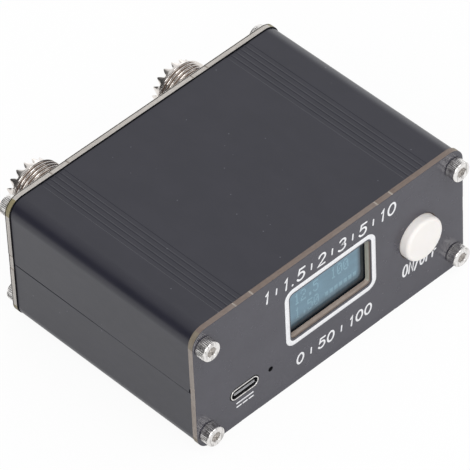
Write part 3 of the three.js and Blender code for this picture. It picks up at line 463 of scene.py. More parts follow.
def dark_glass_paint():
    dark, pale = (0.01, 0.012, 0.017), (0.014, 0.017, 0.023)
    return plain_paint("display_dark", dark, pale, 0.08, 3, grain=(2, 0.0005))


# Where the display's haze fades out, as the dark and the lit place along Z and along X, how
# ragged its edge is, and the span of its clouds as shares of the glow
HAZE_LOWER = (15.8, 20.2)
HAZE_RIGHT = (11.8, 9.8)
HAZE_RAGGED = 0.9
GLOW_SPAN = (0.9, 1.08)


def glow_paint(name, body, other, clouds, glow, strength, roughness):
    """A lit part of the display, which fades towards the display's right and lower edges."""
    paint = Paint(name, body, roughness)
    paint.set("Emission Color", (*glow, 1))
    ragged = paint.maths("MULTIPLY_ADD", paint.noise((0.4, 1, 4), 2), HAZE_RAGGED * MM, paint.along("Z"))
    lower = paint.fade(ragged, *HAZE_LOWER)
    right = paint.fade(paint.along("X"), *HAZE_RIGHT)
    level = paint.remap(paint.noise((5, 5, 3)), WIDE_SPAN, [share * strength for share in GLOW_SPAN])
    lit = paint.maths("MULTIPLY", paint.maths("MULTIPLY", lower, right), level)
    paint.set("Emission Strength", lit)
    paint.tint(other, clouds)
    return paint


# The haze's emission is partly the display's glow and partly a painted reflection of light in its glass.
def haze_glow_and_reflection_paint():
    body, other, glow = (0.01, 0.014, 0.018), (0.016, 0.021, 0.027), (0.11, 0.205, 0.27)
    paint = glow_paint("display_haze_glow_and_painted_reflection", body, other, 3, glow, 0.95, 0.08)
    paint.bump(2, 0.0005)
    return paint.material


def pixel_paint(name, strength):
    body, other, glow = (0.02, 0.03, 0.038), (0.03, 0.042, 0.05), (0.17, 0.3, 0.37)
    return glow_paint(name, body, other, 0.6, glow, strength, 0.2).material


ANODISED = anodised_paint()
LACQUER = lacquer_paint()
FRONT_CORE = laminate_paint("laminate_brown", (0.165, 0.122, 0.1), (0.205, 0.16, 0.135))
FRONT_CORNER = laminate_paint("laminate_front_corner", (0.185, 0.15, 0.11), (0.235, 0.2, 0.15))
# Paler laminate for the front panel's side edges: a painted reflection of the bright floor in edges that
# face sideways.
FRONT_SIDE_PAINTED_REFLECTION = laminate_paint("laminate_front_side_painted_reflection", (0.255, 0.215, 0.188), (0.35, 0.305, 0.27))
REAR_CORE = laminate_paint("laminate_pale", (0.44, 0.41, 0.378), (0.55, 0.515, 0.475))
REAR_CORNER = laminate_paint("laminate_olive", (0.2, 0.17, 0.085), (0.3, 0.26, 0.15))
WINDOW_FLOOR = laminate_paint("laminate_window_floor", (0.3, 0.238, 0.2), (0.42, 0.352, 0.305))
# Paler laminate for the window's sideways walls: a painted reflection.
WINDOW_SIDE_PAINTED_REFLECTION = laminate_paint("laminate_window_side_painted_reflection", (0.36, 0.355, 0.3), (0.43, 0.42, 0.37))
SKIN_AND_PAINTED_SHADE = skin_and_shade_paint()
TAB_FIBRE = plastic_paint("tab_fibre", (0.36, 0.32, 0.28), (0.26, 0.23, 0.2), 0.6, 0.01)
PRINT = plain_paint("white_print", (0.86, 0.86, 0.87), (0.78, 0.78, 0.8), 0.55, 0.5, grain=(0.15, 0.006))
STEEL = steel_paint()
NICKEL = metal_paint("socket_nickel", (0.87, 0.825, 0.785), (0.79, 0.745, 0.7), 0.22)
# Dark brown for the thread's roots and flanks: painted shade and painted reflection.
THREAD_ROOT_PAINTED_SHADE = metal_paint("socket_thread_root_painted_shade", (0.17, 0.125, 0.105), (0.24, 0.19, 0.16), 0.35)
# Dark steel for the inside of the USB port: painted shade.
PORT_INSIDE_PAINTED_SHADE = metal_paint("port_inside_painted_shade", (0.035, 0.035, 0.04), (0.05, 0.05, 0.055), 0.5)
GILT = metal_paint("gilt_contact", (0.8, 0.6, 0.24), (0.72, 0.53, 0.2), 0.24)
BUTTON_WHITE = button_paint()
PTFE = plastic_paint("fluoropolymer_white", (0.8, 0.79, 0.76), (0.73, 0.72, 0.69), 0.42, 0.006)
BLACK_PLASTIC = plastic_paint("moulded_black", (0.012, 0.012, 0.013), (0.02, 0.02, 0.022), 0.5, 0.008)
TONGUE_GREY = plastic_paint("tongue_grey", (0.3, 0.3, 0.31), (0.24, 0.24, 0.25), 0.5, 0.004)
DARK_GLASS = dark_glass_paint()
HAZE_GLOW_AND_PAINTED_REFLECTION = haze_glow_and_reflection_paint()
BRIGHT_PIXEL = pixel_paint("pixel_bright", 0.95)
DIM_PIXEL = pixel_paint("pixel_dim", 0.88)

# Finish of every slot of the record. Those that no piece of the scene shares are made here.
metal, plastic = metal_paint, plastic_paint
SLOT_MATERIALS = {
    "anodised_case": ANODISED,
    "panel_laminate": LACQUER,
    "screw_steel": STEEL,
    "socket_nickel": NICKEL,
    "black_plastic": BLACK_PLASTIC,
    "display_glass": DARK_GLASS,
    "fluoropolymer": PTFE,
    "gilt_brass": GILT,
    "tinned_copper": metal("tinned_copper", (0.68, 0.66, 0.62), (0.58, 0.55, 0.5), 0.3),
    "can_metal": metal("capacitor_can", (0.66, 0.67, 0.68), (0.58, 0.59, 0.6), 0.3),
    "battery_foil": metal("battery_foil", (0.55, 0.57, 0.58), (0.48, 0.5, 0.51), 0.36, 0.004),
    "enamel_wire": metal("enamelled_copper", (0.42, 0.12, 0.05), (0.5, 0.17, 0.07), 0.28),
    "white_plastic": plastic("connector_white", (0.78, 0.77, 0.73), (0.7, 0.69, 0.64), 0.45, 0.006),
    "chip_body": plastic("chip_epoxy", (0.014, 0.014, 0.015), (0.022, 0.022, 0.024), 0.6, 0.01, 0.15),
    "foam": plastic("foam_dark", (0.03, 0.03, 0.032), (0.02, 0.02, 0.022), 0.95, 0.08, 0.3),
    "ribbon_film": plastic("ribbon_amber", (0.42, 0.18, 0.03), (0.36, 0.15, 0.025), 0.4, 0.004),
    "circuit_board": plastic("board_green", (0.012, 0.1, 0.035), (0.016, 0.13, 0.045), 0.35, 0.01),
    "lamp_resin": plastic("lamp_resin", (0.55, 0.62, 0.45), (0.5, 0.56, 0.4), 0.25, 0.004),
    "ferrite": plastic("ferrite_grey", (0.04, 0.04, 0.043), (0.06, 0.06, 0.063), 0.75, 0.02, 0.15),
    "red_lead": plastic("lead_red", (0.4, 0.012, 0.012), (0.34, 0.01, 0.01), 0.45, 0.004),
    "black_lead": plastic("lead_black", (0.01, 0.01, 0.01), (0.016, 0.016, 0.016), 0.45, 0.004),
}


def paint_frame():
    """Gives every CAD node the finish of its slot."""
    for part in frame["record"]["subparts"]:
        node = frame["nodes"][part["node"]]
        node.data.materials.clear()
        node.data.materials.append(SLOT_MATERIALS[part["material_slot"]])


# Shells


def groove(across, up, grow):
    """One wide, shallow groove across the flat, as points in the order of rising X."""
    half = GROOVE_WIDTH / 2
    wall = [(-half - FLAT_MARGIN, 0)]
    for i in range(GROOVE_STEPS + 1):
        share = i / GROOVE_STEPS
        depth = GROOVE_DEPTH * (1 - math.cos(math.pi * share)) / 2
        wall.append((-half + GROOVE_WALL * share, depth))
    wall.append((-half + GROOVE_WALL + FLAT_MARGIN, GROOVE_DEPTH))
    section = wall + [(-a, depth) for a, depth in reversed(wall)]
    return [(across + a, up - depth + grow) for a, depth in section]


def outer_top(grow):
    """The case's outline from the right seam over the top to the left seam, with X falling."""
    middle, level = SHELL_HALF_WIDTH - SHELL_CORNER, SHELL_HEIGHT - SHELL_CORNER
    right = [(SHELL_HALF_WIDTH + grow, level - FLAT_MARGIN)]
    right += arc(middle, level, SHELL_CORNER + grow, 0, 90, CORNER_STEPS)
    right.append((middle - FLAT_MARGIN, SHELL_HEIGHT + grow))
    for i in reversed(range(GROOVE_COUNT)):
        across = GROOVE_BAND + (i - (GROOVE_COUNT - 1) / 2) * GROOVE_PITCH
        right += reversed(groove(across, SHELL_HEIGHT, grow))
    return right + [(-a, b) for a, b in reversed(right)]


def channel_path(steps):
    """The inner outline round the screw channel in the lower right corner, from floor to wall."""
    x, z = SCREW_ACROSS, SCREW_HEIGHTS[0]
    slot = CHANNEL_SLOT_ANGLE
    outer_half = math.degrees(math.asin(CHANNEL_SLOT / 2 / CHANNEL_RADIUS))
    inner_half = math.degrees(math.asin(CHANNEL_SLOT / 2 / CHANNEL_HOLE))
    end = math.degrees(math.acos((SHELL_HALF_WIDTH - SHELL_WALL - x) / CHANNEL_RADIUS))
    return (
        [(x - CHANNEL_RADIUS, SHELL_WALL)]
        + arc(x, z, CHANNEL_RADIUS, 180, slot + outer_half, steps)
        + arc(x, z, CHANNEL_HOLE, slot + inner_half, slot - inner_half + 360, 4 * steps)
        + arc(x, z, CHANNEL_RADIUS, slot - outer_half, end, steps)
    )


def half_profile(upper, grow, gap):
    """One shell's cross-section in X and Z, drawn as the lower shell and flipped for the upper one."""
    lower_top = SEAM_HEIGHT - SEAM_GAP / 2
    shelf = lower_top - SEAM_LIP_HEIGHT
    wall = SHELL_HALF_WIDTH + grow
    inner_wall = SHELL_HALF_WIDTH - SHELL_WALL
    bevel = min(SEAM_BEVEL, SEAM_BEVEL_SHARE * gap)
    right = channel_path(CHANNEL_STEPS)
    if upper:
        shelf = SHELL_HEIGHT - shelf - SEAM_GAP
        step = SHELL_HALF_WIDTH - SEAM_LIP - SEAM_SIDE_GAP
        top = SHELL_HEIGHT - lower_top - gap
    else:
        step = SHELL_HALF_WIDTH - SEAM_LIP
        top = lower_top
        reach = board_high.x - RAIL_REACH
        for level in (board_low.z - RAIL_THICKNESS, board_high.z + RAIL_GAP):
            over = level + RAIL_THICKNESS
            right += [(inner_wall, level), (reach, level), (reach, over), (inner_wall, over)]
    right += [(inner_wall, shelf), (step, shelf), (step, top), (wall - bevel, top), (wall, top - bevel)]
    outside = [(a, SHELL_HEIGHT - b) for a, b in outer_top(grow)]
    profile = outside + [(-a, b) for a, b in reversed(right)] + right
    if upper:
        profile = [(a, SHELL_HEIGHT - b) for a, b in profile]
    return profile


# The seam is open at the back, closes to a hairline and has a notch at the front panel
SEAM_GAPS = ((0, 1.3), (0.66, 1.15), (0.76, 0.03), (24, 0.035), (34, 0.1), (46, 0.15), (60.4, 0.17))


def seam_gap(place):
    """The seam's gap at a distance behind the front panel."""
    for (start, first), (end, last) in zip(SEAM_GAPS, SEAM_GAPS[1:]):
        if place <= end:
            return first + (last - first) * (place - start) / (end - start)
    return SEAM_GAPS[-1][1]


def build_shells():
    """Both shells, lofted along the case with a small bevel at each end."""
    length = REAR_INNER - FRONT_INNER
    edge = [
        (SHELL_END_GAP, -SHELL_END_BEVEL),
        (SHELL_END_GAP + SHELL_END_STEP, -SHELL_END_BEVEL / 3),
        (SHELL_END_GAP + SHELL_END_BEVEL, 0),
    ]
    places = edge + [(place, 0) for place, _ in SEAM_GAPS[1:-1]]
    places += [(length - place, grow) for place, grow in reversed(edge)]
    for name, upper in (("lower_shell", False), ("upper_shell", True)):
        bm = bmesh.new()
        rings = []
        for place, grow in places:
            gap = seam_gap(place) if upper else SEAM_GAP
            rings.append(at_depth(half_profile(upper, grow, gap), FRONT_INNER + place))
        add_loft(bm, rings)
        replace_node(bm, name, [ANODISED], "anodised_case", "skin")


# Panels


# Finishes of a panel's faces, in the order of its materials
LACQUERED, BARE_EDGE, TAB_END, DARK_SKIN_AND_PAINTED_SHADE, BARE_CORNER, SIDE_EDGE_PAINTED_REFLECTION, SILL, REVEAL_PAINTED_REFLECTION = range(8)

# Plies in each panel's edge that aren't bare, as depths from its outer face and a finish
FRONT_PLIES = ((0, 0.08, LACQUERED),)
# The rear panel's inner dark ply is painted shade: it stands for the shadow line where the panel meets
# the shell.
REAR_PLIES = ((0.14, 0.36, DARK_SKIN_AND_PAINTED_SHADE), (1.5, 1.6, DARK_SKIN_AND_PAINTED_SHADE))

# Where a rounded corner's other colour begins, as a share of its radius from the side
CORNER_TONE = 0.6


def tab_marks(tabs):
    """Place and depth of the small notches and the recess of each tab."""
    marks = []
    for middle, half in tabs:
        marks += [
            (middle - half - TAB_NOTCH_WIDTH / 2, 0),
            (middle - half, TAB_NOTCH_DEPTH),
            (middle - half + TAB_NOTCH_WIDTH / 2, TAB_RECESS),
            (middle + half - TAB_NOTCH_WIDTH / 2, TAB_RECESS),
            (middle + half, TAB_NOTCH_DEPTH),
            (middle + half + TAB_NOTCH_WIDTH / 2, 0),
        ]
    return marks


def edge_marks(outward, marks, grow, level, upright, rising):
    """Points along one straight edge of a panel, with its marks."""
    ordered = sorted(marks, reverse=not rising)
    placed = [(place, level + outward * (grow - depth)) for place, depth in ordered]
    return [(b, a) for a, b in placed] if upright else placed


def panel_outline(grow):
    """The panel's outline from the lower right corner round, with its tab marks."""
    half = PANEL_HALF_WIDTH
    size = (2 * half, PANEL_HEIGHT)
    corners = rounded_rectangle((0, MID_HEIGHT), size, PANEL_CORNER, CORNER_STEPS, grow)
    count = CORNER_STEPS + 1
    level = tab_marks(TOP_TABS)
    upright = tab_marks(SIDE_TABS)
    return (
        corners[:count]
        + edge_marks(1, upright, grow, half, True, True)
        + corners[count : 2 * count]
        + edge_marks(1, level, grow, PANEL_HEIGHT, False, False)
        + corners[2 * count : 3 * count]
        + edge_marks(-1, upright, grow, -half, True, False)
        + corners[3 * count :]
        + edge_marks(-1, level, grow, 0, False, True)
    )


def hole_circle(a, b, radius, steps=48):
    return lambda grow: circle(a, b, radius + grow, steps)


def hole_box(centre, size, radius, steps=8):
    return lambda grow: rounded_rectangle(centre, size, radius, steps, grow)


def screw_hole_list():
    return [
        hole_circle(side * SCREW_ACROSS, height, PANEL_SCREW_HOLE)
        for side in (-1, 1)
        for height in SCREW_HEIGHTS
    ]


def edge_levels(thickness, plies):
    """Depths through a panel, each with how far it is cut back and the finish of the band behind it."""
    depths = {0, PANEL_EDGE_BEVEL, thickness - PANEL_EDGE_BEVEL, thickness}
    depths = sorted(depths | {end for ply in plies for end in ply[:2]})
    levels = []
    for i, depth in enumerate(depths):
        cut = -PANEL_EDGE_BEVEL if i in (0, len(depths) - 1) else 0
        middle = (depth + depths[min(i + 1, len(depths) - 1)]) / 2
        finish = BARE_EDGE
        for start, end, ply_finish in plies:
            if start < middle < end:
                finish = ply_finish
        levels.append((depth, cut, finish))
    return levels


def hole_levels(finish):
    """Depths through a hole's wall, each with how far it grows and the finish of the band behind."""
    window = finish == SILL
    skin = DARK_SKIN_AND_PAINTED_SHADE if window else finish
    draft = -WINDOW_DRAFT if window else 0
    return [
        (0, HOLE_BEVEL, skin),
        (HOLE_BEVEL, 0, BARE_EDGE if window else finish),
        (WINDOW_RIM, WINDOW_RIM_SHARE * draft, finish),
        (PANEL_THICKNESS - WINDOW_SKIN, draft, skin),
        (PANEL_THICKNESS - HOLE_BEVEL, draft, skin),
        (PANEL_THICKNESS, draft + HOLE_BEVEL, skin),
    ]


def build_panel(node, outer_depth, inward, holes, plies, finishes):
    """A plate with lacquered faces, bare laminate edges and hole walls in their own finishes."""
    bm = bmesh.new()
    loops = []
    for outline, levels in [(panel_outline, edge_levels(PANEL_THICKNESS, plies))] + holes:
        rows = []
        for depth, grow, _ in levels:
            ring = at_depth(outline(grow), outer_depth + inward * depth)
            rows.append([bm.verts.new(point) for point in ring])
        for row, other, (_, _, finish) in zip(rows, rows[1:], levels):
            add_faces(bm, row, other, finish)
        loops.append(rows)
    for end, finish in ((0, LACQUERED), (-1, DARK_SKIN_AND_PAINTED_SHADE)):
        corners = [vertex for rows in loops for vertex in rows[end]]
        polygons = [[vertex.co for vertex in rows[end]] for rows in loops]
        for triangle in tessellate_polygon(polygons):
            bm.faces.new([corners[i] for i in triangle]).material_index = finish
    mark_edges(bm)
    # The front panel's side finish is the paler laminate, a painted reflection.
    core, corner, side = finishes
    materials = [LACQUER, core, TAB_FIBRE, SKIN_AND_PAINTED_SHADE, corner, side, WINDOW_FLOOR, WINDOW_SIDE_PAINTED_REFLECTION]
    replace_node(bm, node, materials, "panel_laminate", "plate")


def mark_edges(bm):
    """Gives the tab notches, the rounded corners and the window's sides their finish. The paler laminate
    of the side edges and of the window's sides is a painted reflection.
    """
    side, level = PANEL_HALF_WIDTH, MID_HEIGHT
    for face in bm.faces:
        if face.material_index == SILL:
            face.normal_update()
            if abs(face.normal.x) > abs(face.normal.z):
                # Sideways walls of the window take the paler laminate: a painted reflection.
                face.material_index = REVEAL_PAINTED_REFLECTION
        if face.material_index != BARE_EDGE:
            continue
        middle = face.calc_center_median()
        above = abs(middle.z - level)
        at_top = above > level - TAB_NOTCH_DEPTH
        at_side = abs(middle.x) > side - TAB_NOTCH_DEPTH
        # Side edges take the paler laminate: a painted reflection.
        if at_side and above < level - PANEL_CORNER:
            face.material_index = SIDE_EDGE_PAINTED_REFLECTION
        if abs(middle.x) > side - CORNER_TONE * PANEL_CORNER and above > level - PANEL_CORNER:
            face.material_index = BARE_CORNER
        for edge, tabs, along in ((at_top, TOP_TABS, middle.x), (at_side, SIDE_TABS, middle.z)):
            for centre, half in tabs:
                if edge and abs(abs(along - centre) - half) < TAB_NOTCH_WIDTH / 2:
                    face.material_index = TAB_END


def build_panels():
    port_slot = [size + 2 * PORT_SLOT_GAP for size in PORT_SIZE]
    screw_holes = [(hole, hole_levels(BARE_EDGE)) for hole in screw_hole_list()]
    front_holes = screw_holes + [
        (hole_box(WINDOW_CENTRE, WINDOW_SIZE, WINDOW_CORNER), hole_levels(SILL)),
        (hole_circle(*BUTTON_CENTRE, BUTTON_RADIUS + BUTTON_HOLE_GAP, 96), hole_levels(BARE_EDGE)),
        (hole_box(PORT_CENTRE, port_slot, port_slot[1] / 2, 16), hole_levels(DARK_SKIN_AND_PAINTED_SHADE)),
        (hole_circle(*LAMP_CENTRE, LAMP_HOLE), hole_levels(DARK_SKIN_AND_PAINTED_SHADE)),
    ]
    rear_holes = screw_holes + [
        (hole_circle(side * SOCKET_ACROSS, SOCKET_LEVEL, SOCKET_HOLE, 96), hole_levels(BARE_EDGE))
        for side in (-1, 1)
    ]
    front_finishes = (FRONT_CORE, FRONT_CORNER, FRONT_SIDE_PAINTED_REFLECTION)
    rear_finishes = (REAR_CORE, REAR_CORNER, REAR_CORE)
    build_panel("front_panel", FRONT_FACE, 1, front_holes, FRONT_PLIES, front_finishes)
    build_panel("rear_panel", REAR_FACE, -1, rear_holes, REAR_PLIES, rear_finishes)


# Case screws

SCREW_COLUMNS = 120
KNURL_COUNT = 40
KNURL_DEPTH = 0.17
KNURL_POWER = 1.2
KNURL_START = 0.52
HEAD_RADIUS = 2.75
HEAD_HEIGHT = 3
# The head's rounded edge, as how far in from its radius and how far behind its face
HEAD_EDGE = ((0.42, 0), (0.3, 0.02), (0.18, 0.1), (0.09, 0.24), (0.06, 0.4))
HEAD_FOOT = ((0, -0.2), (KNURL_DEPTH, -0.12), (KNURL_DEPTH + 0.1, 0))
HEX_APOTHEM = 1.25
HEX_DEPTH = 1.6
HEX_CONE = 0.35
HEX_FILLET = (0.99, 0.06)
# The hexagon's turned mouth, as shares of its apothem and how far behind the head's face
HEX_MOUTH = ((1.2, 0.03), (1.24, 0))
HEX_MOUTH_DEPTH = 0.22
SHANK_RADIUS = 1.5
SHANK_LENGTH = 8
SHANK_PITCH = 0.5
SHANK_THREAD = 0.28
SHANK_PLAIN = 0.5
SHANK_TIP_BEVEL = 0.4


def knurl(angle):
    """The head's radius, which falls into fine grooves."""
    phase = (angle / FULL_TURN * KNURL_COUNT) % 1
    return HEAD_RADIUS - KNURL_DEPTH * abs(2 * phase - 1) ** KNURL_POWER


def hexagon(apothem):
    return lambda angle: apothem / math.cos(angle % (FULL_TURN / 6) - FULL_TURN / 12)


def screw_profile():
    """Head, hexagon socket and threaded shank, as (radius, depth) with the head towards minus."""
    face = -HEAD_HEIGHT
    floor = face + HEX_DEPTH
    profile = [
        (0, floor + HEX_CONE),
        (hexagon(HEX_APOTHEM * HEX_FILLET[0]), floor),
        (hexagon(HEX_APOTHEM), floor - HEX_FILLET[1]),
        (hexagon(HEX_APOTHEM), face + HEX_MOUTH_DEPTH),
    ]
    profile += [(HEX_APOTHEM * share, face + depth) for share, depth in HEX_MOUTH]
    profile += [(HEAD_RADIUS - inset, face + depth) for inset, depth in HEAD_EDGE]
    profile += [(knurl, face + KNURL_START), (knurl, HEAD_FOOT[0][1])]
    profile += [(HEAD_RADIUS - inset, depth) for inset, depth in HEAD_FOOT[1:]]
    profile.append((SHANK_RADIUS, 0))
    for i in range(int((SHANK_LENGTH - 2 * SHANK_PLAIN) / SHANK_PITCH)):
        start = SHANK_PLAIN + i * SHANK_PITCH
        profile += [(SHANK_RADIUS, start), (SHANK_RADIUS - SHANK_THREAD, start + SHANK_PITCH / 2)]
    end = [(SHANK_RADIUS, SHANK_LENGTH - SHANK_PLAIN), (SHANK_RADIUS - SHANK_TIP_BEVEL, SHANK_LENGTH)]
    return profile + end + [(0, SHANK_LENGTH)]


def build_screws():
    for end, y, facing in (("front", FRONT_FACE, 1), ("rear", REAR_FACE, -1)):
        for level, height in zip(("lower", "upper"), SCREW_HEIGHTS):
            for side, word in ((-1, "left"), (1, "right")):
                bm = bmesh.new()
                centre = (side * SCREW_ACROSS, y, height)
                add_loft(bm, lathe_rings(screw_profile(), SCREW_COLUMNS, centre, facing), caps=False)
                replace_node(bm, f"{end}_screw_{level}_{word}", [STEEL], "screw_steel")


# Button

CAP_COLUMNS = 128
CAP_EDGE = 1.1
CAP_CROWN = 0.08
CAP_WALL = 1.2
CAP_RECESS = 2.4
CAP_BOSS = 3.5
CAP_ROUNDING = 0.1
CAP_SKIRT_ROUNDING = 0.15
# The face's crown, as shares of the cap's radius and of the crown's height
CROWN_SHARES = ((0, 0), (0.35, 0.15), (0.65, 0.5))
STEM_POCKET = 2.75
STEM_REACH = 0.4


def build_button():
    """A cap with a slightly crowned face, a soft edge and a hollow back with its boss."""
    front, rear = cap_low.y - FRONT_FACE, cap_high.y - FRONT_FACE
    inside = BUTTON_RADIUS - CAP_WALL
    crown = [(BUTTON_RADIUS * out, front + CAP_CROWN * fall) for out, fall in CROWN_SHARES]
    back = (
        (inside, rear),
        (inside, rear - CAP_RECESS),
        (CAP_BOSS, rear - CAP_RECESS),
        (CAP_BOSS, rear),
        (STEM_POCKET, rear),
        (STEM_POCKET, -STEM_REACH),
    )
    shoulder = [
        (*crown[-1], 0),
        (BUTTON_RADIUS, front + CAP_CROWN, CAP_EDGE),
        (BUTTON_RADIUS, rear, CAP_SKIRT_ROUNDING),
        *((radius, depth, CAP_ROUNDING) for radius, depth in back),
        (0, -STEM_REACH, 0),
    ]
    bm = bmesh.new()
    centre = (BUTTON_CENTRE[0], FRONT_FACE, BUTTON_CENTRE[1])
    profile = crown + rounded_profile(shoulder, 10)[1:]
    add_loft(bm, lathe_rings(profile, CAP_COLUMNS, centre), caps=False)
    replace_node(bm, "button_cap", [BUTTON_WHITE], "white_plastic", body="button")


# Display

FILM_THICKNESS = 0.2
FILM_MARGIN = 0.15
FILM_HEIGHT = 15
FILM_CORNER = 0.4
FILM_BEVEL = 0.04
GLASS_CORNER = 0.3
GLASS_BEVEL = 0.08
LIT_SIZE = (21.74, 10.87)
LIT_CENTRE = (0, MID_HEIGHT + 3.1)
PIXEL = LIT_SIZE[0] / 128
PIXEL_RISE = 0.015
DOT_WIDTH = 2
DOT_HEIGHT = 3


def build_display():
    """Glass with its front film, whose face carries the display's haze, partly its glow and partly a
    painted reflection.
    """
    bm = bmesh.new()
    size = (glass_high.x - glass_low.x, glass_high.z - glass_low.z)
    centre = face_middle(glass_low, glass_high)
    film_front = glass_low.y
    front = film_front + FILM_THICKNESS
    sections = [
        (-GLASS_BEVEL, front),
        (0, front + GLASS_BEVEL),
        (0, glass_high.y - GLASS_BEVEL),
        (-GLASS_BEVEL, glass_high.y),
    ]
    add_loft(bm, plate_rings(centre, size, GLASS_CORNER, 3, sections))
    size = (size[0] - 2 * FILM_MARGIN, FILM_HEIGHT)
    centre = (centre[0], glass_high.z - FILM_MARGIN - FILM_HEIGHT / 2)
    sections = [(-FILM_BEVEL, film_front), (0, film_front + FILM_BEVEL), (0, front + FILM_THICKNESS)]
    rows = add_loft(bm, plate_rings(centre, size, FILM_CORNER, 3, sections), caps=False)
    bm.faces.new(rows[0]).material_index = 1
    bm.faces.new(rows[-1])
    replace_node(bm, "display_glass", [DARK_GLASS, HAZE_GLOW_AND_PAINTED_REFLECTION], "display_glass", merge=False)
    build_readout(film_front)


# Readout of plain numbers and bars, drawn in the display's own pixels
DIGIT_ROWS = {
    "0": ("01110", "10001", "10011", "10101", "11001", "10001", "01110"),
    "1": ("00100", "01100", "00100", "00100", "00100", "00100", "01110"),
    "2": ("01110", "10001", "00001", "00110", "01000", "10000", "11111"),
    "5": ("11111", "10000", "11110", "00001", "00001", "10001", "01110"),
    ".": ("00000", "00000", "00000", "00000", "00000", "00110", "00110"),
}
# The bright numbers and the dim ones, each with its first column and its top row
BRIGHT_NUMBERS = (("12.5", 4, 9), ("100", 74, 9))
DIM_NUMBERS = (("1.50", 4, 36),)
BAR_COUNT = 7
BAR_START = (62, 46)
BAR_SIZE = (6, 8)
BAR_PITCH = 9


def add_pixels(bm, column, row, width, height, depth):
    """A raised block of pixels. Columns count from the left of the lit area and rows from its top."""
    left = LIT_CENTRE[0] - LIT_SIZE[0] / 2 + column * PIXEL
    top = LIT_CENTRE[1] + LIT_SIZE[1] / 2 - row * PIXEL
    right, bottom = left + width * PIXEL, top - height * PIXEL
    outline = [(left, bottom), (right, bottom), (right, top), (left, top)]
    add_loft(bm, [at_depth(outline, depth - PIXEL_RISE), at_depth(outline, depth)])


def add_digits(bm, text, column, row, depth):
    """Numbers of DOT_WIDTH by DOT_HEIGHT dots, each run of dots in a line as one block."""
    for character in text:
        for line, bits in enumerate(DIGIT_ROWS[character]):
            run = 0
            for place in range(len(bits) + 1):
                if place < len(bits) and bits[place] == "1":
                    run += 1
                elif run:
                    start = column + (place - run) * DOT_WIDTH
                    add_pixels(bm, start, row + line * DOT_HEIGHT, run * DOT_WIDTH, DOT_HEIGHT, depth)
                    run = 0
        column += (len(DIGIT_ROWS[character][0]) + 1) * DOT_WIDTH


def build_readout(depth):
    bright, dim = bmesh.new(), bmesh.new()
    for bm, numbers in ((bright, BRIGHT_NUMBERS), (dim, DIM_NUMBERS)):
        for number, column, row in numbers:
            add_digits(bm, number, column, row, depth)
    for i in range(BAR_COUNT):
        add_pixels(dim, BAR_START[0] + i * BAR_PITCH, BAR_START[1], *BAR_SIZE, depth)
    finish_piece(bright, "readout_bright", [BRIGHT_PIXEL], "display_glass", merge=False)
    finish_piece(dim, "readout_dim", [DIM_PIXEL], "display_glass", merge=False)


# Printing on the panels: strokes of one width with round ends

PRINT_RISE = 0.035
PRINT_FOOT = 0.01
PRINT_SINK = 0.02
PRINT_CREST = 0.05
CORNER_STRETCH = 1.6
CORNER_LEAST = 0.3
CAP_ANGLES = (80, 60, 40, 20)
BORDER_WIDTH = 1.32
BORDER_SIZE = (28.28, 16.92)
BORDER_CENTRE = (-0.07, MID_HEIGHT + 2.62)
BORDER_CORNER = 2.2


def stroke_rows(points, width, closed):
    """Centre, side and half width for each step of a stroke, with a round end where it is open."""
    places = [Vector(point) for point in points]
    last = len(places) - 1
    rows = []
    for i, place in enumerate(places):
        into = (place - places[i - 1]).normalized() if closed or i else None
        out = (places[(i + 1) % len(places)] - place).normalized() if closed or i < last else None
        ahead, stretch = out if into is None else into, 1
        if into is not None and out is not None:
            ahead = (into + out).normalized()
            stretch = min(1 / max(ahead.dot(out), CORNER_LEAST), CORNER_STRETCH)
        rows.append((place, Vector((-ahead.y, ahead.x)), width / 2 * stretch, ahead))
    if closed:
        return rows
    first, final = rows[0], rows[-1]
    start, end = [], []
    for angle in map(math.radians, CAP_ANGLES):
        reach, half = width / 2 * math.sin(angle), width / 2 * math.cos(angle)
        start.append((first[0] - first[3] * reach, first[1], half, first[3]))
        end.insert(0, (final[0] + final[3] * reach, final[1], half, final[3]))
    return start + rows + end


def add_stroke(bm, points, width, depth=FRONT_FACE, outward=-1, closed=False):
    """A low raised ribbon along a path drawn in X and Z."""
    rings = []
    for place, side, half, _ in stroke_rows(points, width, closed):
        crest = max(half - PRINT_CREST, half / 2)
        right = [(crest, PRINT_RISE), (half, PRINT_FOOT), (half, -PRINT_SINK)]
        ring = []
        for across, rise in [(-across, rise) for across, rise in reversed(right)] + right:
            point = place + side * across
            ring.append((point.x, depth + outward * rise, point.y))
        rings.append(ring)
    add_loft(bm, rings, caps=not closed, wrap=closed)


def glyph_strokes(character):
    """Strokes of a character in a box one wide and one high, each with whether it closes."""
    ring = [(oval(0.5, 0.5, 0.5, 0.5, 0, 345, 23), True)]
    glyphs = {
        "0": ring,
        "O": ring,
        "1": [([(0.3, 0.78), (0.62, 1), (0.62, 0)], False)],
        "2": [(oval(0.5, 0.7, 0.45, 0.3, 165, -35) + [(0.05, 0), (0.98, 0)], False)],
        "3": [(oval(0.45, 0.75, 0.42, 0.25, 150, -90) + oval(0.45, 0.26, 0.5, 0.26, 85, -150), False)],
        "5": [([(0.9, 1), (0.2, 1), (0.1, 0.56)] + oval(0.47, 0.33, 0.5, 0.33, 115, -150), False)],
        "N": [([(0.05, 0), (0.05, 1), (0.95, 0), (0.95, 1)], False)],
        "F": [([(0.1, 0), (0.1, 1), (0.95, 1)], False), ([(0.1, 0.54), (0.75, 0.54)], False)],
        "/": [([(0, -0.08), (1, 1.08)], False)],
        ".": [([(0.45, 0), (0.55, 0.02)], False)],
    }
    return glyphs[character]


# Widths of the narrow characters, as shares of a whole one
NARROW = {".": 0.35, "/": 0.8, "1": 0.75}
TEXT_GAP = 0.45
TEXT_SLANT = 0.16


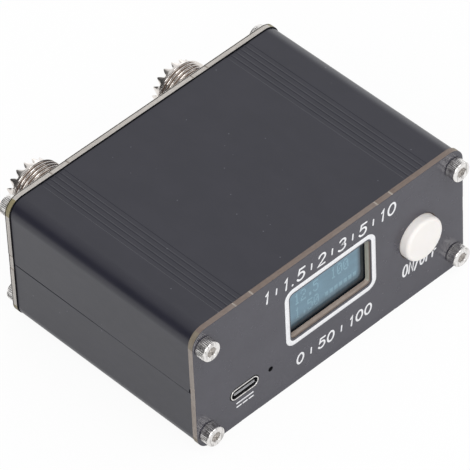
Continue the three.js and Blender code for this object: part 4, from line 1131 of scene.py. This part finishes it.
def add_text(bm, text, left, bottom, width, height, line, depth=FRONT_FACE, outward=-1):
    """Numbers or letters of one stroke width. Width is that of one character."""
    for character in text:
        share = NARROW.get(character, 1)
        for points, closed in glyph_strokes(character):
            placed = []
            for a, b in points:
                x = left + a * width * share + b * height * TEXT_SLANT
                placed.append((x * -outward, bottom + b * height))
            add_stroke(bm, placed, line, depth, outward, closed)
        left += width * share + TEXT_GAP * width


def text_width(text, width):
    return sum(width * (NARROW.get(c, 1) + TEXT_GAP) for c in text) - TEXT_GAP * width


# Rows of plain numbers: the texts, where the row starts and ends, its bottom, and a character's
# height and width
NUMBER_ROWS = (
    (("1", "1.5", "2", "3", "5", "10"), (-21.5, 21.2), 32.1, 3.3, 2.3),
    (("0", "50", "100"), (-11.8, 12.6), 5.2, 2.9, 2),
)
NUMBER_LINE = 0.55
TICK_LINE = 0.44
TICK_LENGTH = 1.6
TICK_LEAN = 0.1
# Places of the other texts are left and bottom, their characters width and height
SWITCH_PLACE = (23.4, 8.7)
SWITCH_CHARACTER = (1.4, 3.3)
SWITCH_LINE = 0.56
MARK_HALF_WIDTH = 2.6
MARK_LINE = 0.42
MARK_SPACING = 0.6
MARK_DROP = 3.9
SOCKET_NUMBER_CHARACTER = (1.9, 2.9)
SOCKET_NUMBER_LINE = 0.5
SOCKET_NUMBER_BOTTOM = 32.4
SOCKET_NUMBER_SHIFT = 1


def finish_print(bm, name):
    finish_piece(bm, f"{name}_print", [PRINT], "panel_laminate", merge=False)


def build_border():
    border = bmesh.new()
    path = rounded_rectangle(BORDER_CENTRE, BORDER_SIZE, BORDER_CORNER, 10)
    add_stroke(border, path, BORDER_WIDTH, closed=True)
    finish_print(border, "window_border")


def build_numbers():
    """Two rows of plain numbers, with a tick between each and the next."""
    numbers = bmesh.new()
    for row, (start, end), bottom, height, width in NUMBER_ROWS:
        widths = [text_width(text, width) for text in row]
        gap = (end - start - sum(widths)) / (len(row) - 1)
        left = start
        for text, reach in zip(row, widths):
            if left > start:
                tick = left - gap / 2 + TEXT_SLANT * height / 2
                level = bottom + height / 2
                lower = (tick - TICK_LEAN, level - TICK_LENGTH / 2)
                upper = (tick + TICK_LEAN, level + TICK_LENGTH / 2)
                add_stroke(numbers, [lower, upper], TICK_LINE)
            add_text(numbers, text, left, bottom, width, height, NUMBER_LINE)
            left += reach + gap
    finish_print(numbers, "scale")


def build_current_mark():
    """The direct-current mark: a line over three dashes."""
    mark = bmesh.new()
    left, right = PORT_CENTRE[0] - MARK_HALF_WIDTH, PORT_CENTRE[0] + MARK_HALF_WIDTH
    middle = PORT_CENTRE[1] - MARK_DROP
    upper, lower = middle + MARK_SPACING, middle - MARK_SPACING
    add_stroke(mark, [(left, upper), (right, upper)], MARK_LINE)
    dash = (right - left) / 4
    for i in range(3):
        start = left + i * 1.5 * dash
        add_stroke(mark, [(start, lower), (start + dash, lower)], MARK_LINE)
    finish_print(mark, "port")


def build_prints():
    build_border()
    build_numbers()
    switch = bmesh.new()
    add_text(switch, "ON/OFF", *SWITCH_PLACE, *SWITCH_CHARACTER, SWITCH_LINE)
    finish_print(switch, "switch")
    build_current_mark()
    rear = bmesh.new()
    for side, text in ((1, "1"), (-1, "2")):
        place = (side * SOCKET_ACROSS - SOCKET_NUMBER_SHIFT, SOCKET_NUMBER_BOTTOM)
        add_text(rear, text, *place, *SOCKET_NUMBER_CHARACTER, SOCKET_NUMBER_LINE, REAR_FACE, 1)
    finish_print(rear, "socket_number")


# USB-C port

PORT_WALL = 0.33
PORT_LIP = 0.1
# The rolled lip's shoulders inwards and back, and its inner edge, as shares of the lip
LIP_SHOULDER = (0.3, 0.2)
LIP_INNER = 0.8
PORT_DEPTH = port_high.y - port_low.y
PORT_STEPS = 20
FOOT_HALF_LENGTH = 0.55
TONGUE_SIZE = (6.7, 0.7)
TONGUE_RECESS = 0.12
TONGUE_TIP = (0.12, 0.15)
TONGUE_ROUNDING = 0.6
TONGUE_OVERLAP = 0.2
BLOCK_GAP = 0.1
PORT_BACK = 2.2
FEET_SHARES = (0.38, 0.85)
CONTACT_COUNT = 12
CONTACT_SPACING = 0.5
CONTACT_SIZE = (0.26, 0.05)
CONTACT_CORNER = 0.02
CONTACT_INSET = 1.2
CONTACT_BACK_GAP = 0.1


def mark_between(bm, rows, other):
    """Gives the faces between two rows, and those that they enclose, the second material."""
    inside = {*rows, *other}
    for face in bm.faces:
        if inside.issuperset(face.verts):
            face.material_index = 1


def build_port_shell():
    """The drawn metal shell with its rolled lip, and its four feet on the board."""
    front = port_low.y
    bm = bmesh.new()
    across, back = (PORT_LIP * share for share in LIP_SHOULDER)
    sections = (
        (-PORT_WALL, PORT_LIP * LIP_INNER),
        (-PORT_WALL + across, back),
        (-PORT_WALL / 2, 0),
        (-across, back),
        (0, PORT_LIP),
        (0, PORT_DEPTH),
        (-PORT_WALL, PORT_DEPTH),
    )
    sections = [(grow, front + depth) for grow, depth in sections]
    rings = plate_rings(PORT_CENTRE, PORT_SIZE, PORT_SIZE[1] / 2, PORT_STEPS, sections)
    rows = add_loft(bm, rings, wrap=True)
    # The shell's inner faces take the dark steel: painted shade inside the port.
    mark_between(bm, rows[0], rows[-1])
    for side, outer in ((-1, port_low.x), (1, port_high.x)):
        inner = PORT_CENTRE[0] + side * (PORT_SIZE[0] / 2 - PORT_WALL / 2)
        for share in FEET_SHARES:
            middle = front + PORT_DEPTH * share
            start, end = middle - FOOT_HALF_LENGTH, middle + FOOT_HALF_LENGTH
            corners = [(inner, start), (outer, start), (outer, end), (inner, end)]
            levels = (board_high.z, board_high.z + PORT_WALL)
            add_loft(bm, [[(x, y, z) for x, y in corners] for z in levels])
    replace_node(bm, "usb_shell", [STEEL, PORT_INSIDE_PAINTED_SHADE], "screw_steel", merge=False)


def build_tongue():
    """The tongue on its block, with a row of contacts above and below."""
    front, back = port_low.y, port_high.y
    block_front = back - PORT_BACK
    tip = front + TONGUE_RECESS
    tongue = bmesh.new()
    sections = [(-PORT_WALL - BLOCK_GAP, y) for y in (block_front, back)]
    add_loft(tongue, plate_rings(PORT_CENTRE, PORT_SIZE, PORT_SIZE[1] / 2, PORT_STEPS, sections))
    grow, length = TONGUE_TIP
    sections = [(-grow, tip), (0, tip + length), (0, block_front + TONGUE_OVERLAP)]
    rounding = TONGUE_SIZE[1] / 2 * TONGUE_ROUNDING
    rows = add_loft(tongue, plate_rings(PORT_CENTRE, TONGUE_SIZE, rounding, 4, sections))
    mark_between(tongue, rows[0], rows[1])
    materials = [BLACK_PLASTIC, TONGUE_GREY]
    replace_node(tongue, "usb_tongue", materials, "black_plastic", merge=False)

    contacts = bmesh.new()
    sections = [(0, tip + CONTACT_INSET), (0, block_front - CONTACT_BACK_GAP)]
    for level in (-1, 1):
        for i in range(CONTACT_COUNT):
            x = PORT_CENTRE[0] + (i - (CONTACT_COUNT - 1) / 2) * CONTACT_SPACING
            centre = (x, PORT_CENTRE[1] + level * TONGUE_SIZE[1] / 2)
            add_loft(contacts, plate_rings(centre, CONTACT_SIZE, CONTACT_CORNER, 2, sections))
    finish_piece(contacts, "usb_contacts", [GILT], "gilt_brass", merge=False)


# Coaxial sockets, drawn from the rear panel's outer face towards the back

SOCKET_COLUMNS = 160
TOOTH_COUNT = 16
TOOTH_HEIGHT = 2
TOOTH_TIP_FLAT = 0.08
TOOTH_TURN = {"left": math.radians(3.6), "right": math.radians(-1.85)}
THREAD_RADIUS = 7.94
THREAD_DEPTH = 0.62
THREAD_PITCH = 1.058
THREAD_PHASE = 0.54
THREAD_START = 1.19
THREAD_END = 12.9
THREAD_ROWS = 14
# The thread's height where it starts, as a share, and how many thread depths in from the crests
# a face still counts as thread
THREAD_RUN_IN = 0.4
THREAD_BAND = 1.2
# Shares of a pitch before and after each root that are painted dark as shade
ROOT_SHADE_SHARE = (0.08, 0.24)
CROWN_RADIUS = 7
CROWN_TIP_RADIUS = 6.7
SOCKET_BORE = 6.3
SOCKET_PROUD = socket_high.y - REAR_FACE
SOCKET_BACK = socket_low.y - REAR_FACE
FLANGE_RADIUS = 10.5
FLANGE_DEPTH = 2
BACK_RADIUS = 7.6
LIP_RADIUS = 5.4
LIP_THICKNESS = 0.8
FLANGE_BEVEL = 0.2
BACK_BEVEL = 0.15
THREAD_LEAD = 0.3
CROWN_STEP = 0.15
RIM_BEVEL = 0.08
RIM_SHARES = (0.12, 0.35, 0.7, 0.94, 1.0)
BORE_STEP = 0.1


def behind_panel(name):
    """Where a node starts and ends behind the rear panel's outer face, and its half width."""
    low, high = node_box(name)
    return low.y - REAR_FACE, high.y - REAR_FACE, (high.x - low.x) / 2


def thread_phase(depth, angle):
    return depth / THREAD_PITCH + angle / FULL_TURN + THREAD_PHASE


def thread_radius(depth, angle):
    """The radius of a right-hand helical thread with round crests that runs out at both ends."""
    crest = (1 - math.cos(FULL_TURN * thread_phase(depth, angle))) / 2
    rise = (depth - THREAD_START) / THREAD_PITCH + THREAD_RUN_IN
    ease = min(1, (THREAD_END - depth) / THREAD_PITCH * 2, rise)
    return THREAD_RADIUS - THREAD_DEPTH * (1 - crest * max(0, ease))


def mark_painted_root_shade(bm, centre):
    """Gives the thread's roots and the flanks that face the panel a dark brown: painted shade in the
    roots and a painted reflection of the darker surroundings in the flanks.
    """
    x, y, z = centre
    for face in bm.faces:
        middle = face.calc_center_median()
        across, depth, rise = middle.x - x, middle.y - y, middle.z - z
        outside = math.hypot(across, rise) > THREAD_RADIUS - THREAD_BAND * THREAD_DEPTH
        if outside and THREAD_START < depth < THREAD_END:
            phase = thread_phase(depth, math.atan2(rise, across))
            if (phase + ROOT_SHADE_SHARE[0]) % 1 < sum(ROOT_SHADE_SHARE):
                face.material_index = 1


def rim_depth(angle):
    """How far the toothed rim stands at an angle from a tooth's tip."""
    phase = (angle / FULL_TURN * TOOTH_COUNT) % 1
    height = (1 - abs(2 * phase - 1) - TOOTH_TIP_FLAT) / (1 - TOOTH_TIP_FLAT)
    return SOCKET_PROUD - TOOTH_HEIGHT * max(0.0, height)


def socket_profile(turn):
    """From the back lip outside to the rim and down the bore again, as (radius, depth)."""
    valley = SOCKET_PROUD - TOOTH_HEIGHT
    inner_face = REAR_INNER - REAR_FACE
    flange = inner_face - FLANGE_DEPTH
    profile = [
        (LIP_RADIUS, SOCKET_BACK),
        (BACK_RADIUS - BACK_BEVEL, SOCKET_BACK),
        (BACK_RADIUS, SOCKET_BACK + BACK_BEVEL),
        (BACK_RADIUS, flange),
        (FLANGE_RADIUS - FLANGE_BEVEL, flange),
        (FLANGE_RADIUS, flange + FLANGE_BEVEL),
        (FLANGE_RADIUS, inner_face),
        (THREAD_RADIUS, inner_face),
        (THREAD_RADIUS, THREAD_START - THREAD_LEAD),
    ]
    steps = int((THREAD_END - THREAD_START) / THREAD_PITCH * THREAD_ROWS)
    for i in range(steps + 1):
        depth = THREAD_START + (THREAD_END - THREAD_START) * i / steps
        profile.append((lambda angle, depth=depth: thread_radius(depth, angle + turn), depth))
    profile += [(CROWN_RADIUS, THREAD_END + CROWN_STEP), (CROWN_RADIUS, valley)]
    for share in RIM_SHARES:
        radius = CROWN_RADIUS + (CROWN_TIP_RADIUS - CROWN_RADIUS) * share
        profile.append((radius, lambda angle, s=share: valley + (rim_depth(angle) - valley) * s))
    return profile + [
        (SOCKET_BORE + RIM_BEVEL, rim_depth),
        (SOCKET_BORE, valley - BORE_STEP),
        (SOCKET_BORE, SOCKET_BACK + LIP_THICKNESS),
        (LIP_RADIUS, SOCKET_BACK + LIP_THICKNESS),
    ]


INSULATOR_BORE = 1.3
INSULATOR_RADIUS = 6.2
INSULATOR_MOUTH = 3.2
INSULATOR_FLOOR = 2.4
INSULATOR_COLUMNS = 96
# How far its edges are rounded: at the back, at the front, and round the groove and the mouth
INSULATOR_ROUNDINGS = (0.2, 0.35, 0.1)
INSULATOR_GROOVE = ((5.2, 0), (4.9, 0.35), (4.2, 0.35), (3.9, 0))


def insulator_profile(node):
    """A cup with a groove round its front, as (radius, depth)."""
    back, front, _ = behind_panel(node)
    floor = back + INSULATOR_FLOOR
    at_back, at_front, at_groove = INSULATOR_ROUNDINGS
    corners = [
        (INSULATOR_BORE, back, 0),
        (INSULATOR_RADIUS, back, at_back),
        (INSULATOR_RADIUS, front, at_front),
        *((radius, front - sunk, at_groove) for radius, sunk in INSULATOR_GROOVE),
        (INSULATOR_MOUTH, front, at_groove),
        (INSULATOR_MOUTH, floor, 0),
        (INSULATOR_BORE, floor, 0),
    ]
    return rounded_profile(corners, 4)


PIN_RADIUS = 1.2
PIN_BEVEL = (0.2, 0.25)
FINGER_RADIUS = 3.1
FINGER_BORE = 2.05
FINGER_BEVEL = 0.1
BORE_LENGTH = 9
BORE_CONE = 0.4
SLIT_LENGTH = 1.8
SLIT_HALF_WIDTH = 0.25
# The fingers' rounded tips, as how far before the tip and how far in
TIP_STEPS = ((SLIT_LENGTH, 0), (0.3, 0), (0.08, 0.12), (0, 0.25))
TIP_BORE_SHARE = 0.6
CONTACT_COLUMNS = 64


def build_contact(node, insulator, centre):
    """A turned contact whose mouth is split in four springy fingers."""
    back, tip, _ = behind_panel(node)
    slit_floor = tip - SLIT_LENGTH
    shoulder = behind_panel(insulator)[0] + INSULATOR_FLOOR
    profile = [
        (0, back),
        (PIN_RADIUS - PIN_BEVEL[0], back),
        (PIN_RADIUS, back + PIN_BEVEL[1]),
        (PIN_RADIUS, shoulder),
        (FINGER_RADIUS - FINGER_BEVEL, shoulder),
        (FINGER_RADIUS, shoulder + FINGER_BEVEL),
        (FINGER_RADIUS, slit_floor),
        (FINGER_BORE, slit_floor),
        (FINGER_BORE, tip - BORE_LENGTH),
        (0, tip - BORE_LENGTH - BORE_CONE),
    ]
    bm = bmesh.new()
    add_loft(bm, lathe_rings(profile, CONTACT_COLUMNS, centre), caps=False)
    x, y, z = centre
    for start in range(0, 360, 90):
        rings = []
        for before, inset in TIP_STEPS:
            outer, inner = FINGER_RADIUS - inset, FINGER_BORE + inset * TIP_BORE_SHARE
            outer_trim = math.degrees(math.asin(SLIT_HALF_WIDTH / outer))
            inner_trim = math.degrees(math.asin(SLIT_HALF_WIDTH / inner))
            section = arc(x, z, outer, start + outer_trim, start + 90 - outer_trim, 12)
            section += arc(x, z, inner, start + 90 - inner_trim, start + inner_trim, 8)
            rings.append(at_depth(section, y + tip - before))
        add_loft(bm, rings)
    replace_node(bm, node, [GILT], "gilt_brass")


NUT_CORNER = 0.75
NUT_CHAMFER = (1, 0.5)
NUT_LEAD = 0.25
CHAMFER_SHARES = (0, 0.25, 0.5, 0.75, 1)
NUT_COLUMNS = 144
WASHER_COLUMNS = 180
WASHER_TEETH = 18
WASHER_TOOTH = 0.6
WASHER_TOOTH_SPAN = (0.3, 0.7)
WASHER_BEVEL = 0.08


def build_nut(node, centre):
    """A hexagon nut with turned chamfers on both faces."""
    start, end, half_flats = behind_panel(node)
    flat = hexagon(half_flats)
    across, length = NUT_CHAMFER

    def corner(share):
        reach = half_flats + NUT_CORNER + across * share
        return lambda angle: min(flat(angle), reach)

    rows = [(SOCKET_HOLE, start + NUT_LEAD), (SOCKET_HOLE + NUT_LEAD, start)]
    rows += [(corner(share), start + length * share) for share in CHAMFER_SHARES]
    rows += [(corner(share), end - length * share) for share in reversed(CHAMFER_SHARES)]
    rows += [(SOCKET_HOLE + NUT_LEAD, end), (SOCKET_HOLE, end - NUT_LEAD)]
    bm = bmesh.new()
    add_loft(bm, lathe_rings(rows, NUT_COLUMNS, centre), wrap=True)
    replace_node(bm, node, [NICKEL], "socket_nickel")


def washer_bore(angle):
    phase = (angle / FULL_TURN * WASHER_TEETH) % 1
    start, end = WASHER_TOOTH_SPAN
    return SOCKET_HOLE + (WASHER_TOOTH if start < phase < end else 0)


def build_washer(node, centre):
    """A lock washer with teeth round its bore."""
    start, end, outer = behind_panel(node)
    edge = outer - WASHER_BEVEL
    rows = [(washer_bore, start), (edge, start), (outer, start + WASHER_BEVEL)]
    rows += [(outer, end - WASHER_BEVEL), (edge, end), (washer_bore, end)]
    bm = bmesh.new()
    add_loft(bm, lathe_rings(rows, WASHER_COLUMNS, centre), wrap=True)
    replace_node(bm, node, [STEEL], "screw_steel")


def build_sockets():
    for side, word in ((-1, "left"), (1, "right")):
        centre = (side * SOCKET_ACROSS, REAR_FACE, SOCKET_LEVEL)
        turn = TOOTH_TURN[word]
        body = bmesh.new()
        add_loft(body, lathe_rings(socket_profile(turn), SOCKET_COLUMNS, centre, turn=turn), wrap=True)
        mark_painted_root_shade(body, centre)
        replace_node(body, f"socket_body_{word}", [NICKEL, THREAD_ROOT_PAINTED_SHADE], "socket_nickel")
        insulator = bmesh.new()
        node = f"socket_insulator_{word}"
        rings = lathe_rings(insulator_profile(node), INSULATOR_COLUMNS, centre)
        add_loft(insulator, rings, wrap=True)
        replace_node(insulator, node, [PTFE], "fluoropolymer")
        build_contact(f"socket_contact_{word}", node, centre)
        build_nut(f"socket_nut_{word}", centre)
        build_washer(f"socket_washer_{word}", centre)


# Floor, light and camera

CAMERA_PLACE = (-594.04, -657.96, 899.19)
CAMERA_AZIMUTH = -42.049
CAMERA_ELEVATION = 44.837
CAMERA_ROLL = -2.781
CAMERA_LENS = 404.64
CAMERA_REACH = 100
FLOOR_HALF = 3000
FLOOR_GAP = 0.05
FLOOR_REACH = 3
FLOOR_COLOUR = (0.9, 0.9, 0.9, 1)
FLOOR_ROUGHNESS = 0.9
FLOOR_WHITE = 0.93
FLOOR_MIRRORED = 0.6

# The studio: an even level, brighter on the right and darker on the left and behind. Each side
# has its direction, the nearness to it where the change starts and ends, and the change.
WORLD_LEVEL = 0.84
WORLD_LEAST = 0.05
WORLD_COLOUR = (0.985, 0.99, 1, 1)
WORLD_SIDES = (
    ((0.85, 0.5, 0.1), (0.8, 1.0), 0.68),
    ((-0.85, 0.5, 0.15), (0.74, 0.93), -0.84),
    ((-0.3, 0.87, 0.35), (0.84, 0.94), -0.7),
)


def add_object(name, data, place=(0, 0, 0), turn=Matrix.Identity(4)):
    made = bpy.data.objects.new(name, data)
    made.matrix_world = Matrix.Translation(Vector(place) * MM) @ turn
    bpy.context.scene.collection.objects.link(made)
    return made


def build_camera():
    angles = (CAMERA_AZIMUTH, CAMERA_ELEVATION, CAMERA_ROLL)
    azimuth, elevation, roll = (math.radians(angle) for angle in angles)
    level = Vector((math.cos(azimuth), math.sin(azimuth), 0))
    outward = Vector((math.sin(azimuth), -math.cos(azimuth), 0))
    back = outward * math.cos(elevation) + Vector((0, 0, math.sin(elevation)))
    right = level * math.cos(roll) + back.cross(level) * math.sin(roll)
    turn = Matrix((right, back.cross(right), back)).transposed().to_4x4()
    data = bpy.data.cameras.new("camera")
    data.lens = CAMERA_LENS
    data.clip_end = CAMERA_REACH
    bpy.context.scene.camera = add_object("camera", data, CAMERA_PLACE, turn)


def white_backdrop(tree, surface, seen, mirrored):
    """Mixes shares of plain white in front of a surface for camera rays and for mirrored ones."""
    white = add_node(tree, "Emission", {"Color": (1, 1, 1, 1)})
    share = 0
    for kind, amount in (("Is Camera Ray", seen), ("Is Glossy Ray", mirrored)):
        inputs = {0: add_node(tree, "LightPath", {}, kind), 1: amount, 2: share}
        share = add_node(tree, "Math", inputs, operation="MULTIPLY_ADD")
    return add_node(tree, "MixShader", {0: share, 1: surface, 2: white})


def open_below(tree, surface):
    """Clears the floor from below and for rays that start close to it, so that the underside is lit."""
    length = add_node(tree, "LightPath", {}, "Ray Length")
    near = add_node(tree, "Math", {0: length, 1: FLOOR_REACH * MM}, operation="LESS_THAN")
    below = add_node(tree, "NewGeometry", {}, "Backfacing")
    clear = add_node(tree, "Math", {0: near, 1: below}, operation="MAXIMUM")
    through = add_node(tree, "BsdfTransparent", {})
    return add_node(tree, "MixShader", {0: clear, 1: surface, 2: through})


def build_floor():
    bm = bmesh.new()
    reach, level = FLOOR_HALF * MM, -FLOOR_GAP * MM
    corners = ((-1, -1), (1, -1), (1, 1), (-1, 1))
    bm.faces.new([bm.verts.new((a * reach, b * reach, level)) for a, b in corners])
    mesh = bpy.data.meshes.new("floor")
    bm.to_mesh(mesh)
    bm.free()
    material = bpy.data.materials.new("floor_white")
    material.use_nodes = True
    tree = material.node_tree
    shader = tree.nodes["Principled BSDF"]
    shader.inputs["Base Color"].default_value = FLOOR_COLOUR
    shader.inputs["Roughness"].default_value = FLOOR_ROUGHNESS
    shader.inputs["Specular IOR Level"].default_value = 0
    seen = white_backdrop(tree, shader.outputs[0], FLOOR_WHITE, FLOOR_MIRRORED)
    put(tree, tree.nodes["Material Output"].inputs["Surface"], open_below(tree, seen))
    mesh.materials.append(material)
    add_object("floor", mesh)


def build_world():
    world = bpy.data.worlds.new("studio")
    bpy.context.scene.world = world
    world.use_nodes = True
    tree = world.node_tree
    background = tree.nodes["Background"]
    direction = add_node(tree, "TexCoord", {}, "Generated")
    level = WORLD_LEVEL
    for side, span, change in WORLD_SIDES:
        inputs = {0: direction, 1: Vector(side).normalized()}
        nearness = add_node(tree, "VectorMath", inputs, "Value", operation="DOT_PRODUCT")
        ramp = map_range(tree, nearness, span, (0, change), "SMOOTHSTEP")
        level = add_node(tree, "Math", {0: ramp, 1: level})
    level = add_node(tree, "Math", {0: level, 1: WORLD_LEAST}, operation="MAXIMUM")
    background.inputs["Color"].default_value = WORLD_COLOUR
    put(tree, background.inputs["Strength"], level)
    seen = white_backdrop(tree, background.outputs[0], 1, 0)
    put(tree, tree.nodes["World Output"].inputs["Surface"], seen)


# Square soft lamps: place, size and power. Each faces the middle of the object.
LAMPS = {
    "front_left_box": ((-1250, -750, 1250), 1300, 12),
    "overhead_box": ((190, -750, 1740), 700, 5.5),
}
LAMP_AIM = (0, 0, 19)


def build_lights():
    for name, (place, size, power) in LAMPS.items():
        data = bpy.data.lights.new(name, "AREA")
        data.shape = "SQUARE"
        data.size = size * MM
        data.energy = power
        towards = Vector(LAMP_AIM) - Vector(place)
        add_object(name, data, place, towards.to_track_quat("-Z", "Y").to_matrix().to_4x4())


bpy.context.scene.view_settings.view_transform = "Standard"
build_camera()
paint_frame()
build_shells()
build_panels()
build_screws()
build_button()
build_display()
build_prints()
build_port_shell()
build_tongue()
build_sockets()
build_floor()
build_world()
build_lights()
